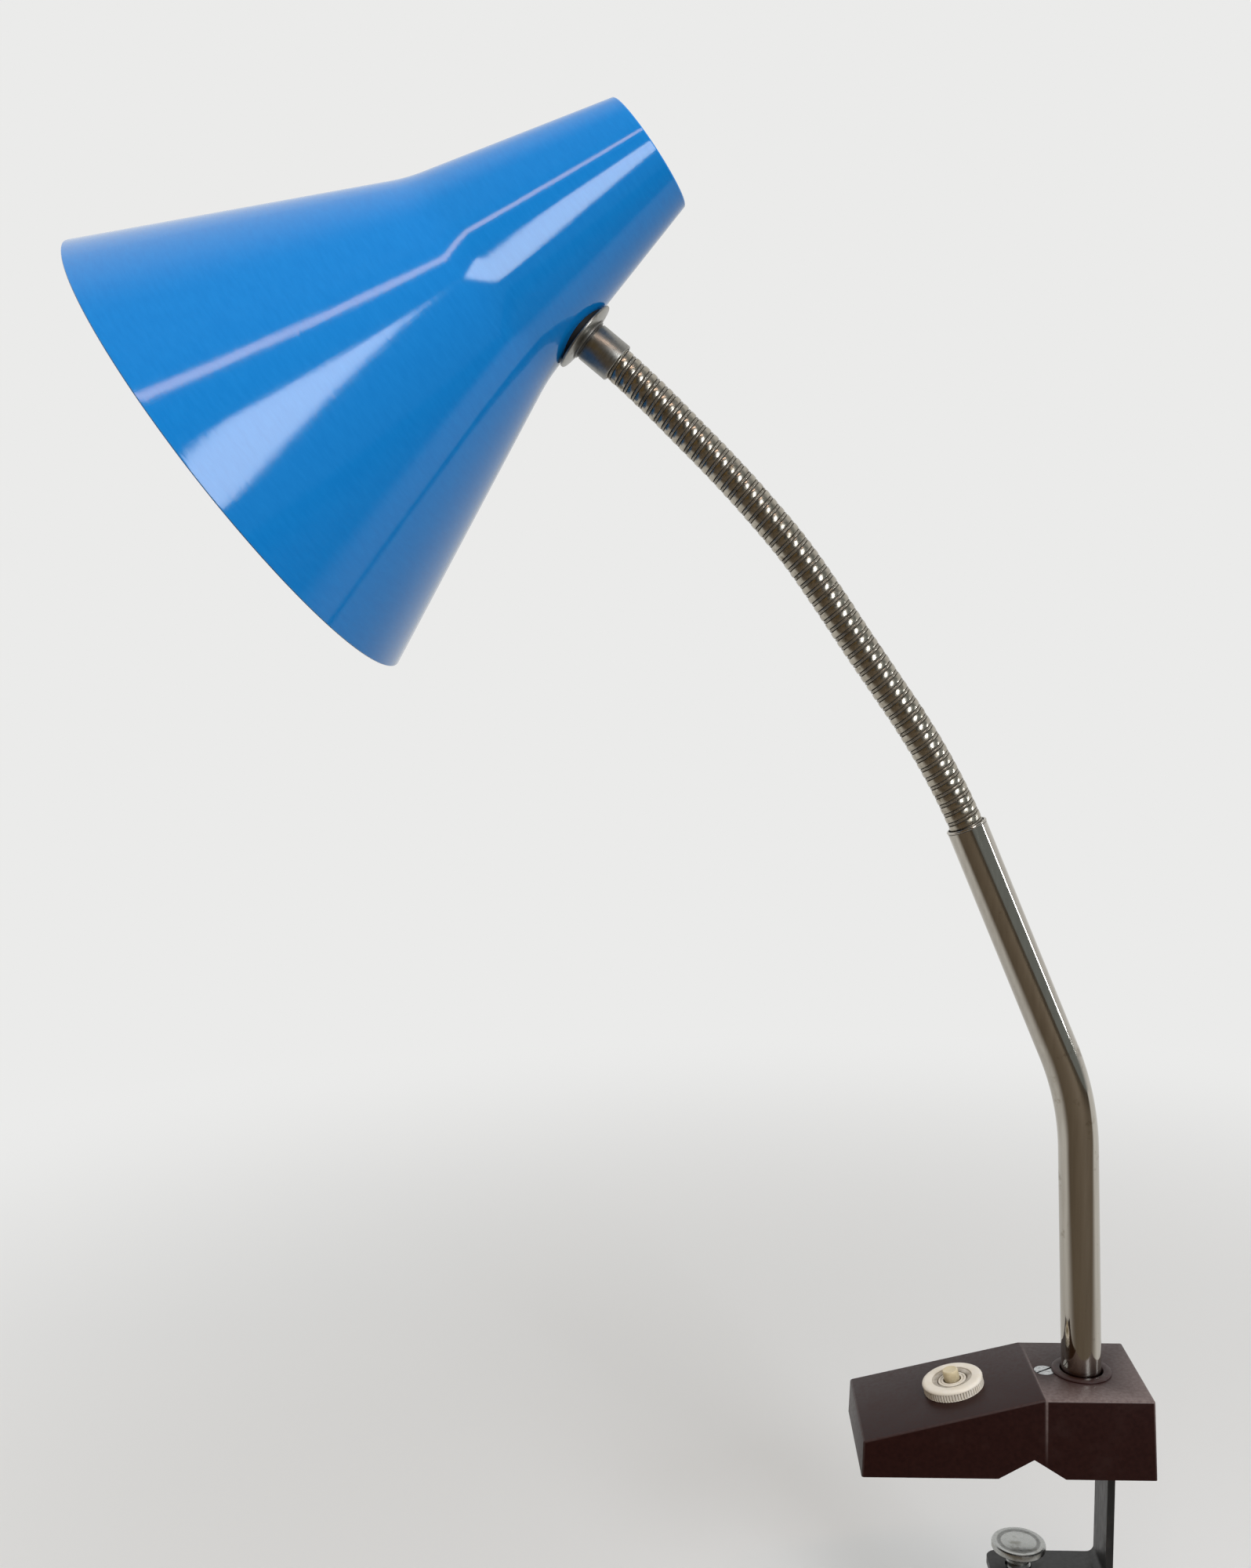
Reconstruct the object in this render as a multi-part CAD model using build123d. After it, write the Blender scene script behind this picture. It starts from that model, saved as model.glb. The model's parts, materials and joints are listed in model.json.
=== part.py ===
from build123d import *
import math
import os

# Base housing
front_length = 70.4
block_length = 43.7
width = 51.5
block_height = 32.0
nose_height = 14.5
draft = 2.3
wall = 3.0
roof = 3.5
edge_round = 0.9
ridge_x = 3.2
notch_front = 14.0
notch_back = 12.5
notch_height = 7.8
boss_radius = 12.0
boss_height = 1.0
boss_round = 0.7

# Post, a bent steel tube
post_setback = 20.8
tube_radius = 8.0
tube_wall = 1.0
lean_radius = 80.0
post_lean = 2.0
post_lower_length = 93.4
bend_radius = 115.0
post_slant = 22.7
post_upper_length = 98.6

# Flexible neck
neck_radius = 6.8
neck_bore = 2.6
neck_sides = 12
link_count = 11
ribs_per_link = 5
rib_pitch = 4.125
groove_half = 0.5
groove_depth = 0.6
link_gap = 0.3
link_slope = 6.2
ball_radius = 4.7
ball_stem = 3.5
ball_clearance = 0.4
ball_rise = 3.2
ball_band = 14.0
socket_angles = (-30.0, 0.0, 35.0)
neck_in_tube = 14.0
neck_in_ferrule = 8.0
seat_clearance = 0.1
neck_bends = (4.0, 4.0, 3.3, 0.3, -0.6, 1.6, 4.4, 2.4, 2.2, 0.7, 2.5, 2.7)

# Shade, measured along its axis from the mouth
mouth_radius = 99.7
waist_radius = 45.3
top_radius = 23.9
flare_length = 115.5
cone_length = 80.4
shade_wall = 1.0
waist_round = 70.0
hem_depth = 3.0
hem_wall = 1.6

# Ferrule and what clamps the shade to it
seat_up = 21.0
ferrule_radius = 8.0
ferrule_length = 14.7
gasket_radius = 12.0
gasket_least = 0.4
disc_radius = 14.4
disc_flat_radius = 9.0
disc_dish = 1.1
disc_thickness = 1.0
ferrule_groove = 0.4
nipple_radius = 5.0
nipple_bore = 3.6
nut_flats = 14.0
nut_height = 3.0
washer_thickness = 1.0
thread_clearance = 0.15

# Lampholder, bracket and bulb
bracket_width = 15.0
bracket_thickness = 1.5
bracket_level = 178.0
bracket_past_axis = 9.0
bracket_below_nipple = 8.0
holder_radius = 19.5
holder_wall = 2.4
holder_top_radius = 11.0
cap_height = 24.0
cap_shoulder = 11.0
skirt_height = 24.0
screw_shell_radius = 14.3
screw_shell_wall = 0.6
screw_shell_length = 27.0
holder_core_height = 5.0
holder_contact_radius = 3.4
holder_contact_height = 2.5
bulb_cap_radius = 13.1
bulb_cap_length = 25.0
bulb_cap_wall = 0.6
bulb_radius = 30.0
bulb_length = 105.0
bulb_wall = 0.8

# Clamp strap, screw, pad and knob
strap_width = 20.0
strap_thickness = 3.0
strap_leg_outer = 36.2
strap_bend = 3.0
strap_front = 3.0
jaw_depth = 52.0
lower_arm_front = 12.0
clamp_boss_radius = 8.0
clamp_boss_height = 9.0
clamp_screw_radius = 5.0
clamp_screw_length = 76.0
clamp_bore_clearance = 0.3
table_thickness = 42.0
pad_radius = 11.0
pad_thickness = 4.0
pad_bevel = 0.8
pad_socket_radius = 4.0
pad_socket_depth = 2.4
knob_radius = 13.0
knob_height = 14.0
knob_flutes = 8
knob_flute_radius = 3.2
knob_bevel = 1.5
knob_below_screw = 3.0

# Post foot, its washers and nut
foot_plug_length = 12.0
foot_plug_straight = 3.0
foot_plug_taper = 0.5
foot_stem_length = 13.0
foot_stem_radius = 5.0
foot_bore = 3.2
foot_clearance = 0.1
friction_washer = 0.5
spring_washer = 1.2
spring_washer_radius = 6.6
stop_washer = 1.2
stop_washer_radius = 7.0
stop_ear_reach = 11.6
stop_ear_width = 4.0
post_nut_height = 4.0
bore_clearance = 0.4
swivel_gap = 0.1

# Housing screw and bottom plate
screw_setback = 5.7
screw_head_radius = 4.0
screw_radius = 2.0
screw_length = 8.0
slot_width = 0.9
slot_depth = 1.0
plate_thickness = 1.6
plate_recess = 1.0
plate_clearance = 0.3
pillar_radius = 3.6
cover_screw_radius = 1.25
cover_screw_head = 2.7
cover_screw_length = 8.0

# Push switch
switch_down_slope = 31.7
ring_radius = 12.45
ring_height = 4.6
ring_flutes = 64
flute_depth = 0.4
ring_lip = 1.0
ring_bevel = 0.9
ring_bore = 6.1
ring_step_radius = 8.0
ring_step_depth = 0.7
bush_radius = 5.8
bush_bore = 3.5
bush_top = 3.6
button_radius = 3.2
button_top = 8.0
button_bevel = 0.5
button_travel = 2.4
button_flange_radius = 4.6
button_flange = 1.2
switch_radius = 9.5
switch_depth = 13.0
switch_cavity_radius = 5.2
switch_cavity_depth = 8.0
switch_lid = 1.5
terminal_radius = 1.6
terminal_height = 1.8
terminal_spacing = 9.0
panel_clearance = 0.3

# Cord grommet
grommet_level = 12.0
grommet_offset = 14.5
grommet_bore = 3.3
grommet_radius = 4.6
grommet_flange_radius = 6.0
grommet_flange = 1.5
grommet_clearance = 0.1

slope_angle = math.degrees(math.atan2(block_height - nose_height, front_length))
lean = math.tan(math.radians(draft))
nose_x = ridge_x - front_length
rear_x = ridge_x + block_length
post_x = ridge_x + post_setback
link_length = ribs_per_link * rib_pitch
cone_angle = math.degrees(math.atan2(waist_radius - top_radius, cone_length))
flare_angle = math.degrees(math.atan2(mouth_radius - waist_radius, flare_length))
hex_radius = nut_flats / math.sqrt(3)


def heading(point, degrees):
    """Frame at a point whose Z runs along a direction counted from X towards Z."""
    a = math.radians(degrees)
    return Plane(origin=point, x_dir=(math.sin(a), 0, -math.cos(a)), z_dir=(math.cos(a), 0, math.sin(a)))


def rod(radius, low, high):
    """Round bar on the Z axis between two levels."""
    return Pos(0, 0, low) * Cylinder(radius, high - low, align=(Align.CENTER, Align.CENTER, Align.MIN))


def ring(outer, inner, low, high):
    """Round tube on the Z axis between two levels."""
    return rod(outer, low, high) - rod(inner, low - 1, high + 1)


def turned(points):
    """Solid of revolution about Z from (radius, height) corners."""
    outline = make_face(Plane.XZ * Polyline(*points, close=True))
    return revolve(outline, Axis.Z)


def hex_nut(bore, low, high, turn=0):
    """Hexagon nut on the Z axis between two levels."""
    body = extrude(Rot(0, 0, turn) * RegularPolygon(hex_radius, 6), amount=high - low)
    return Pos(0, 0, low) * body - rod(bore, low - 1, high + 1)


def slotted_screw(head_radius, radius, length, turn):
    """Countersunk screw with its head's top at zero and its shank below."""
    head = turned([(0, 0), (head_radius, 0), (radius, radius - head_radius), (0, radius - head_radius)])
    shank = rod(radius, -length, radius - head_radius)
    slot = Rot(0, 0, turn) * Pos(0, 0, -slot_depth / 2) * Box(3 * head_radius, slot_width, slot_depth)
    return head + shank - slot


def bar_between(points, depth):
    """Flat outline in the mid plane, grown to both sides."""
    return extrude(make_face(Plane.XZ * Polyline(*points, close=True)), amount=depth / 2, both=True)


# Base housing

def tapered_body(inset, top_drop):
    """Block with drafted sides, cut to the wedge's outline from the side."""
    length = front_length + block_length + lean * (block_height + nose_height) - 2 * inset
    centre = (nose_x - lean * nose_height + rear_x + lean * block_height) / 2
    foot = Pos(centre, 0) * Rectangle(length, width + 2 * lean * block_height - 2 * inset)
    body = extrude(foot, amount=block_height - top_drop, taper=draft)
    rise = math.tan(math.radians(slope_angle))
    drop = top_drop / math.cos(math.radians(slope_angle))
    far = front_length + block_length
    outline = [
        (ridge_x - far, -1),
        (ridge_x + far, -1),
        (ridge_x + far, block_height - top_drop),
        (ridge_x - (drop - top_drop) / rise, block_height - top_drop),
        (ridge_x - far, block_height - drop - far * rise),
    ]
    return body & bar_between(outline, 2 * width)


def cover_screw_places():
    """The two pillars that the bottom plate is screwed to."""
    front = nose_x + wall + pillar_radius + 2
    back = -notch_front - pillar_radius - 2
    side = width / 2 - wall - pillar_radius - 2
    return [(front, -side), (back, side)]


def make_housing():
    outer = tapered_body(0, 0)
    above = [e for e in outer.edges() if e.center().Z > nose_height / 4]
    rounded = [e for e in above if abs(e.center().X - ridge_x) > 0.01 or abs(e.center().Y) > 0.01]
    outer = fillet(rounded, edge_round)
    hollow = tapered_body(wall, roof)
    pillars = Part()
    for x, y in cover_screw_places():
        pillars += Pos(x, y) * rod(pillar_radius, plate_recess + plate_thickness, block_height)
    body = outer - (hollow - pillars)
    boss = rod(boss_radius, block_height - roof, block_height + boss_height)
    body += Pos(post_x, 0) * fillet(boss.edges().sort_by(Axis.Z)[-1], boss_round)
    body -= Pos(post_x, 0) * rod(tube_radius + bore_clearance, 0, block_height + boss_height + 1)
    sink = turned([
        (0, -roof - 1), (screw_radius + thread_clearance, -roof - 1),
        (screw_radius + thread_clearance, screw_radius - screw_head_radius),
        (screw_head_radius + thread_clearance, thread_clearance),
        (screw_head_radius + thread_clearance, boss_height + 1), (0, boss_height + 1),
    ])
    body -= Pos(ridge_x + screw_setback, 0, block_height) * sink
    body -= switch_frame * rod(bush_radius + panel_clearance, -2 * roof, 1)
    body -= grommet_frame * rod(grommet_radius + grommet_clearance, -2 * wall, 2 * wall)
    for x, y in cover_screw_places():
        body -= Pos(x, y) * rod(cover_screw_radius + thread_clearance, 0, cover_screw_length + plate_recess + 0.5)
    notch = [(-notch_front, -1e-3), (notch_back, -1e-3), (0, notch_height)]
    return body - bar_between(notch, 2 * width)


def make_bottom_plate():
    low = nose_x - lean * nose_height + wall + plate_clearance
    high = -notch_front
    half = width / 2 + lean * (block_height - plate_recess - plate_thickness) - wall - plate_clearance
    plate = Pos((low + high) / 2, 0, plate_recess) * Box(
        high - low, 2 * half, plate_thickness, align=(Align.CENTER, Align.CENTER, Align.MIN))
    plate = fillet(plate.edges().filter_by(Axis.Z), 1.5)
    for x, y in cover_screw_places():
        sink = turned([
            (0, -1), (cover_screw_head + thread_clearance, -1), (cover_screw_head + thread_clearance, 0),
            (cover_screw_radius + thread_clearance, cover_screw_head - cover_screw_radius),
            (cover_screw_radius + thread_clearance, plate_thickness + 1), (0, plate_thickness + 1),
        ])
        plate -= Pos(x, y, plate_recess) * sink
    return plate


def make_cover_screws():
    screw = Rot(180, 0, 0) * slotted_screw(cover_screw_head, cover_screw_radius, cover_screw_length, 25)
    return [Pos(x, y, plate_recess) * screw for x, y in cover_screw_places()]


def make_housing_screw():
    return Pos(ridge_x + screw_setback, 0, block_height) * slotted_screw(
        screw_head_radius, screw_radius, screw_length, 35)


# Clamp

arm_top = block_height - roof
arm_low = arm_top - strap_thickness
leg_inner = strap_leg_outer - strap_thickness
lower_arm_top = -jaw_depth
lower_arm_low = lower_arm_top - strap_thickness
pad_top = -table_thickness
screw_top = pad_top - pad_thickness + pad_socket_depth
screw_low = screw_top - clamp_screw_length


def make_strap():
    outline = Polyline(
        (strap_front, arm_top), (strap_leg_outer, arm_top), (strap_leg_outer, lower_arm_low),
        (-lower_arm_front, lower_arm_low), (-lower_arm_front, lower_arm_top), (leg_inner, lower_arm_top),
        (leg_inner, arm_low), (strap_front, arm_low), close=True)
    face = make_face(outline)
    corners = face.vertices()
    outside = [v for v in corners if abs(v.X - strap_leg_outer) < 0.01]
    inside = [v for v in corners if abs(v.X - leg_inner) < 0.01]
    face = fillet(outside, strap_bend + strap_thickness)
    face = fillet([v for v in face.vertices() if any(abs(v.X - w.X) + abs(v.Y - w.Y) < 0.01 for w in inside)],
                  strap_bend)
    strap = extrude(Plane.XZ * face, amount=strap_width / 2, both=True)
    tip = [e for e in strap.edges().filter_by(Axis.Z) if e.center().X < -lower_arm_front + 0.01]
    strap = fillet(tip, strap_width / 4)
    strap -= Pos(post_x, 0) * rod(foot_stem_radius + thread_clearance, 0, block_height)
    strap -= Pos(ridge_x + screw_setback, 0) * rod(screw_radius + thread_clearance, 0, block_height)
    return strap - rod(clamp_screw_radius + clamp_bore_clearance, lower_arm_low - 1, lower_arm_top + 1)


def make_clamp_boss():
    return ring(clamp_boss_radius, clamp_screw_radius + clamp_bore_clearance,
                lower_arm_low - clamp_boss_height, lower_arm_low)


def make_clamp_screw():
    tip = pad_socket_radius - 0.3
    return rod(clamp_screw_radius, screw_low, pad_top - pad_thickness - 1) + rod(tip, screw_low, screw_top - 0.3)


def make_clamp_pad():
    pad = rod(pad_radius, pad_top - pad_thickness, pad_top)
    pad = chamfer(pad.edges().sort_by(Axis.Z)[-1], pad_bevel)
    return pad - rod(pad_socket_radius, pad_top - pad_thickness - 1, screw_top)


def make_clamp_knob():
    low = screw_low - knob_below_screw
    high = low + knob_height
    knob = turned([
        (0, low), (knob_radius - knob_bevel, low), (knob_radius, low + knob_bevel),
        (knob_radius, high - knob_bevel), (knob_radius - knob_bevel, high), (0, high),
    ])
    for i in range(knob_flutes):
        place = Rot(0, 0, 360 / knob_flutes * (i + 0.5)) * Pos(knob_radius + knob_flute_radius / 2, 0)
        knob -= place * rod(knob_flute_radius, low - 1, high + 1)
    return knob - rod(clamp_screw_radius, screw_low, high + 1)


# Post

def post_path():
    """Centre line of the post, drawn in the mid plane as (x, z)."""
    foot_level = arm_top + friction_washer + swivel_gap
    foot = Line((post_x, foot_level), (post_x, block_height - lean_radius * math.sin(math.radians(post_lean))))
    lean_arc = JernArc(foot @ 1, foot % 1, lean_radius, post_lean)
    lower = PolarLine(lean_arc @ 1, post_lower_length, 90 + post_lean)
    bend = JernArc(lower @ 1, lower % 1, bend_radius, post_slant - post_lean)
    upper = PolarLine(bend @ 1, post_upper_length, 90 + post_slant)
    return foot, lean_arc, lower, bend, upper


def make_post_tube():
    path = Plane.XZ * Wire([part.edge() for part in post_path()])
    section = Plane(origin=path @ 0, z_dir=path % 0, x_dir=(1, 0, 0)) * (
        Circle(tube_radius) - Circle(tube_radius - tube_wall))
    return sweep(section, path)


def make_post_foot():
    start = arm_top + friction_washer + swivel_gap
    plug_radius = tube_radius - tube_wall - foot_clearance
    plug = turned([
        (0, start), (plug_radius, start), (plug_radius, start + foot_plug_straight),
        (plug_radius - foot_plug_taper, start + foot_plug_length), (0, start + foot_plug_length),
    ])
    stem = rod(foot_stem_radius, start - foot_stem_length, start + 1)
    return Pos(post_x, 0) * (plug + stem - rod(foot_bore, 0, block_height + foot_plug_length))


def make_friction_washer():
    return Pos(post_x, 0) * ring(tube_radius, foot_stem_radius + thread_clearance, arm_top, arm_top + friction_washer)


spring_top = arm_low - swivel_gap
stop_top = spring_top - spring_washer
post_nut_top = stop_top - stop_washer


def make_spring_washer():
    return Pos(post_x, 0) * ring(spring_washer_radius, foot_stem_radius + foot_clearance, stop_top, spring_top)


def make_stop_washer():
    disc = ring(stop_washer_radius, foot_stem_radius + foot_clearance, post_nut_top, stop_top)
    ear = Pos(-stop_ear_reach, 0, post_nut_top) * Box(
        stop_ear_reach - foot_stem_radius - 1, stop_ear_width, stop_washer,
        align=(Align.MIN, Align.CENTER, Align.MIN))
    ear &= rod(stop_ear_reach, post_nut_top, stop_top)
    return Pos(post_x, 0) * (disc + ear)


def make_post_nut():
    return Pos(post_x, 0) * hex_nut(foot_stem_radius + foot_clearance, post_nut_top - post_nut_height, post_nut_top, 30)


# Flexible neck

def neck_joints():
    """Ball centres and headings of the links, from the tube's end to the ferrule."""
    tip = post_path()[-1] @ 1
    angle = 90 + post_slant
    point = (
        tip.X + ball_rise * math.cos(math.radians(angle)),
        0,
        tip.Y + ball_rise * math.sin(math.radians(angle)),
    )
    links = []
    for bend in neck_bends[:link_count]:
        angle += bend
        links.append((point, angle))
        a = math.radians(angle)
        point = (point[0] + link_length * math.cos(a), 0, point[2] + link_length * math.sin(a))
    links.append((point, angle + neck_bends[link_count]))
    return links


def end_level(radius):
    """How far a link's end face stands off the joint line at a radius."""
    return link_gap / 2 + radius * math.tan(math.radians(link_slope))


def ball_sections(centre):
    """Spigot sections (radius, height) from a link's upper end face to the top of its ball."""
    foot = math.degrees(math.acos(ball_stem / ball_radius))
    rows = [(ball_stem, centre - ball_rise - end_level(ball_stem))]
    for degrees in (-foot, -ball_band, ball_band, foot):
        a = math.radians(degrees)
        rows.append((ball_radius * math.cos(a), centre + ball_radius * math.sin(a)))
    return rows


def socket_cavity():
    """Hollow that a ball sits in, with its centre at the origin."""
    socket = ball_radius + ball_clearance
    mouth = socket * math.cos(math.radians(socket_angles[0]))
    rows = [(mouth, -2 * ball_rise)]
    for degrees in socket_angles:
        a = math.radians(degrees)
        rows.append((socket * math.cos(a), socket * math.sin(a)))
    rows.append((neck_bore, rows[-1][1] + rows[-1][0] - neck_bore))
    return lofted(rows)


def lofted(rows):
    """Solid with flat sides through many-sided sections given as (radius, height)."""
    turns = [math.radians(360 / neck_sides * i) for i in range(neck_sides)]
    rings = [[(radius * math.cos(t), radius * math.sin(t), z) for t in turns] for radius, z in rows]
    faces = [Face(Wire.make_polygon(rings[0])), Face(Wire.make_polygon(rings[-1]))]
    for low, high in zip(rings, rings[1:]):
        for i in range(neck_sides):
            corners = [low[i - 1], low[i], high[i], high[i - 1]]
            faces.append(Face(Wire.make_polygon(corners)))
    return Solid(Shell(faces))


def lower_face(socket_mouth):
    """The two sections of a sloped lower end face."""
    return [
        (socket_mouth, end_level(socket_mouth) - ball_rise),
        (neck_radius, end_level(neck_radius) - ball_rise),
    ]


def make_link(index):
    rows = lower_face(ball_stem)
    for i in range(1, ribs_per_link):
        level = i * rib_pitch - ball_rise
        rows.append((neck_radius, level - groove_half))
        rows.append((neck_radius - groove_depth, level))
        rows.append((neck_radius, level + groove_half))
    rows.append((neck_radius, link_length - ball_rise - end_level(neck_radius)))
    rows += ball_sections(link_length)
    body = lofted(rows) - socket_cavity() - rod(neck_bore, -neck_radius, link_length + ball_radius)
    point, angle = neck_joints()[index]
    return heading(point, angle) * body


def make_neck_seat():
    """Plug in the tube's end, with the ball that the first link turns on."""
    rows = [
        (tube_radius - tube_wall - seat_clearance, -ball_rise - neck_in_tube),
        (tube_radius - tube_wall - seat_clearance, -ball_rise - end_level(neck_radius)),
    ]
    body = lofted(rows + ball_sections(0)) - rod(neck_bore, -2 * neck_in_tube, ball_radius)
    return heading(neck_joints()[0][0], 90 + post_slant) * body


def make_neck_end():
    """Socket piece in the ferrule, turning on the last link's ball."""
    rows = lower_face(ball_stem)
    rows.append((neck_radius, neck_in_ferrule - ball_rise))
    body = lofted(rows) - socket_cavity() - rod(neck_bore, -neck_radius, neck_in_ferrule)
    point, angle = neck_joints()[link_count]
    return heading(point, angle) * body


# Head: everything that rides on the ferrule, with Z running into the shade

ferrule_point, ferrule_heading = neck_joints()[link_count]
disc_top = -gasket_least - disc_dish
ferrule_top = disc_top - disc_thickness
ferrule_low = ferrule_top - ferrule_length
seat_distance = -ferrule_low - ball_rise + link_gap
seat_a = math.radians(ferrule_heading)
seat_point = (
    ferrule_point[0] + seat_distance * math.cos(seat_a),
    0,
    ferrule_point[2] + seat_distance * math.sin(seat_a),
)
head_frame = heading(seat_point, ferrule_heading)
axis_heading = ferrule_heading - 90 - cone_angle
seat_along = flare_length + seat_up * math.cos(math.radians(cone_angle))
seat_radius = waist_radius - seat_up * math.sin(math.radians(cone_angle))
axis_a = math.radians(axis_heading)
mouth_centre = (
    seat_point[0] - seat_along * math.cos(axis_a) - seat_radius * math.sin(axis_a),
    0,
    seat_point[2] - seat_along * math.sin(axis_a) + seat_radius * math.cos(axis_a),
)
shade_frame = heading(mouth_centre, axis_heading)


def shade_outline(offset):
    """Side line of the shade in (radius, height), moved inwards by an offset square to it."""
    flare = math.radians(flare_angle)
    cone = math.radians(cone_angle)
    low = mouth_radius - offset / math.cos(flare)
    high = top_radius - offset / math.cos(cone)
    flare_end = waist_radius - offset / math.cos(flare)
    cone_start = waist_radius - offset / math.cos(cone)
    along = (cone_start - flare_end) / (math.tan(cone) - math.tan(flare))
    corner = (flare_end - along * math.tan(flare), flare_length + along)
    return [(low, 0), corner, (high, flare_length + cone_length)]


def make_shade():
    outer = shade_outline(0)
    inner = shade_outline(shade_wall)
    flare = math.tan(math.radians(flare_angle))
    hem = hem_wall / math.cos(math.radians(flare_angle))
    points = [
        outer[0], outer[1], outer[2], inner[2], inner[1],
        (inner[0][0] - hem_depth * flare, hem_depth), (mouth_radius - hem - hem_depth * flare, hem_depth),
        (mouth_radius - hem, 0),
    ]
    face = make_face(Polyline(*points, close=True))
    waist = [v for v in face.vertices() if abs(v.Y - flare_length) < shade_wall and v.X < waist_radius + 1]
    face = fillet(waist, waist_round)
    body = shade_frame * revolve(Plane.XZ * face, Axis.Z)
    return body - head_frame * rod(nipple_radius + thread_clearance, -2 * shade_wall, 3 * shade_wall)


def shade_solid():
    """The shade's outside as one closed solid, for what is shaped to sit on it."""
    return shade_frame * turned([(0, 0)] + shade_outline(0) + [(0, flare_length + cone_length)])


def make_gasket():
    slant = disc_top + disc_dish * (gasket_radius - disc_flat_radius) / (disc_radius - disc_flat_radius)
    hole = nipple_radius + thread_clearance
    blank = turned([
        (hole, disc_top), (disc_flat_radius, disc_top), (gasket_radius, slant),
        (gasket_radius, gasket_radius / 2), (hole, gasket_radius / 2),
    ])
    return head_frame * blank - shade_solid()


def make_disc():
    hole = nipple_radius + thread_clearance
    return head_frame * turned([
        (hole, ferrule_top), (disc_flat_radius, ferrule_top), (disc_radius, ferrule_top + disc_dish),
        (disc_radius, disc_top + disc_dish), (disc_flat_radius, disc_top), (hole, disc_top),
    ])


def make_ferrule():
    body = turned([
        (0, ferrule_low), (ferrule_radius - ferrule_groove, ferrule_low),
        (ferrule_radius, ferrule_low + ferrule_groove), (ferrule_radius, ferrule_top - 3 * ferrule_groove),
        (ferrule_radius - ferrule_groove, ferrule_top - 3 * ferrule_groove),
        (ferrule_radius - ferrule_groove, ferrule_top - ferrule_groove),
        (ferrule_radius + ferrule_groove, ferrule_top - ferrule_groove),
        (ferrule_radius + ferrule_groove, ferrule_top), (0, ferrule_top),
    ])
    body -= rod(neck_radius + seat_clearance, ferrule_low - 1, ferrule_low + neck_in_ferrule + link_gap)
    return head_frame * (body - rod(nipple_radius + thread_clearance, ferrule_low, ferrule_top + 1))


narrow_radius = waist_radius - (bracket_level - flare_length) * math.tan(math.radians(cone_angle)) - 2 * shade_wall
bracket_sag = narrow_radius - math.sqrt(narrow_radius ** 2 - (bracket_width / 2) ** 2)
bracket_outer = shade_wall + bracket_sag + 0.2
bracket_inner = bracket_outer + bracket_thickness


def make_head_nipple():
    low = ferrule_low + neck_in_ferrule + 1.0
    high = bracket_inner + washer_thickness + nut_height + 1.5
    return head_frame * ring(nipple_radius, nipple_bore, low, high)


def make_head_washer():
    low = bracket_inner
    return head_frame * ring(hex_radius, nipple_radius + thread_clearance, low, low + washer_thickness)


def make_head_nut():
    low = bracket_inner + washer_thickness
    return head_frame * hex_nut(nipple_radius + foot_clearance, low, low + nut_height)


def make_bracket():
    """Bent strip from the nipple along the wall and across to the shade's axis."""
    back = seat_along
    cone = math.radians(cone_angle)
    wall_low = seat_radius - bracket_outer / math.cos(cone)
    slope = math.tan(cone)
    thick = bracket_thickness / math.cos(cone)
    foot = back - bracket_below_nipple
    top = bracket_level + bracket_thickness

    def side(level):
        return wall_low - (level - back) * slope

    outline = [
        (side(foot), foot), (side(top), top), (-bracket_past_axis, top),
        (-bracket_past_axis, bracket_level), (side(bracket_level) - thick, bracket_level),
        (side(foot) - thick, foot),
    ]
    strip = extrude(make_face(Plane.XZ * Polyline(*outline, close=True)), amount=bracket_width / 2, both=True)
    strip = shade_frame * strip
    strip -= head_frame * rod(nipple_radius + thread_clearance, 0, bracket_inner + 2)
    return strip - shade_frame * rod(nipple_radius + thread_clearance, bracket_level - 2, top + 2)


def make_holder_nipple():
    low = bracket_level - holder_wall - 2
    high = bracket_level + bracket_thickness + nut_height + 1
    return shade_frame * ring(nipple_radius, nipple_bore, low, high)


def make_holder_nut():
    low = bracket_level + bracket_thickness
    return shade_frame * hex_nut(nipple_radius + foot_clearance, low, low + nut_height)


cap_low = bracket_level - cap_height
skirt_low = cap_low - skirt_height


def make_holder_cap():
    shoulder = bracket_level - cap_shoulder
    outside = [
        (nipple_radius + thread_clearance, bracket_level), (holder_top_radius, bracket_level),
        (holder_radius, shoulder), (holder_radius, cap_low),
    ]
    inside = [
        (holder_radius - holder_wall, cap_low), (holder_radius - holder_wall, shoulder - holder_wall / 2),
        (holder_top_radius - holder_wall / 2, bracket_level - holder_wall),
        (nipple_radius + thread_clearance, bracket_level - holder_wall),
    ]
    return shade_frame * turned(outside + inside)


def make_holder_skirt():
    lip = 1.2
    inner = holder_radius - holder_wall
    points = [
        (holder_radius, cap_low), (holder_radius + lip, cap_low - 2), (holder_radius + lip, cap_low - 5),
        (holder_radius, cap_low - 7), (holder_radius - 1, skirt_low), (inner - 1, skirt_low), (inner, cap_low),
    ]
    return shade_frame * turned(points)


shell_high = skirt_low + screw_shell_length + 3


def make_holder_core():
    """Porcelain disc in the cap that the screw shell and the bulb's tip bear on."""
    disc = rod(holder_radius - holder_wall, shell_high, shell_high + holder_core_height)
    return shade_frame * (disc + rod(holder_contact_radius, bulb_cap_high, shell_high))


def make_screw_shell():
    low = shell_high - screw_shell_length
    inner = screw_shell_radius - screw_shell_wall
    points = [
        (screw_shell_radius, low), (screw_shell_radius, shell_high), (4, shell_high),
        (4, shell_high - screw_shell_wall), (inner, shell_high - screw_shell_wall), (inner, low),
    ]
    return shade_frame * turned(points)


bulb_cap_high = shell_high - holder_contact_height
bulb_cap_low = bulb_cap_high - bulb_cap_length


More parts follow.
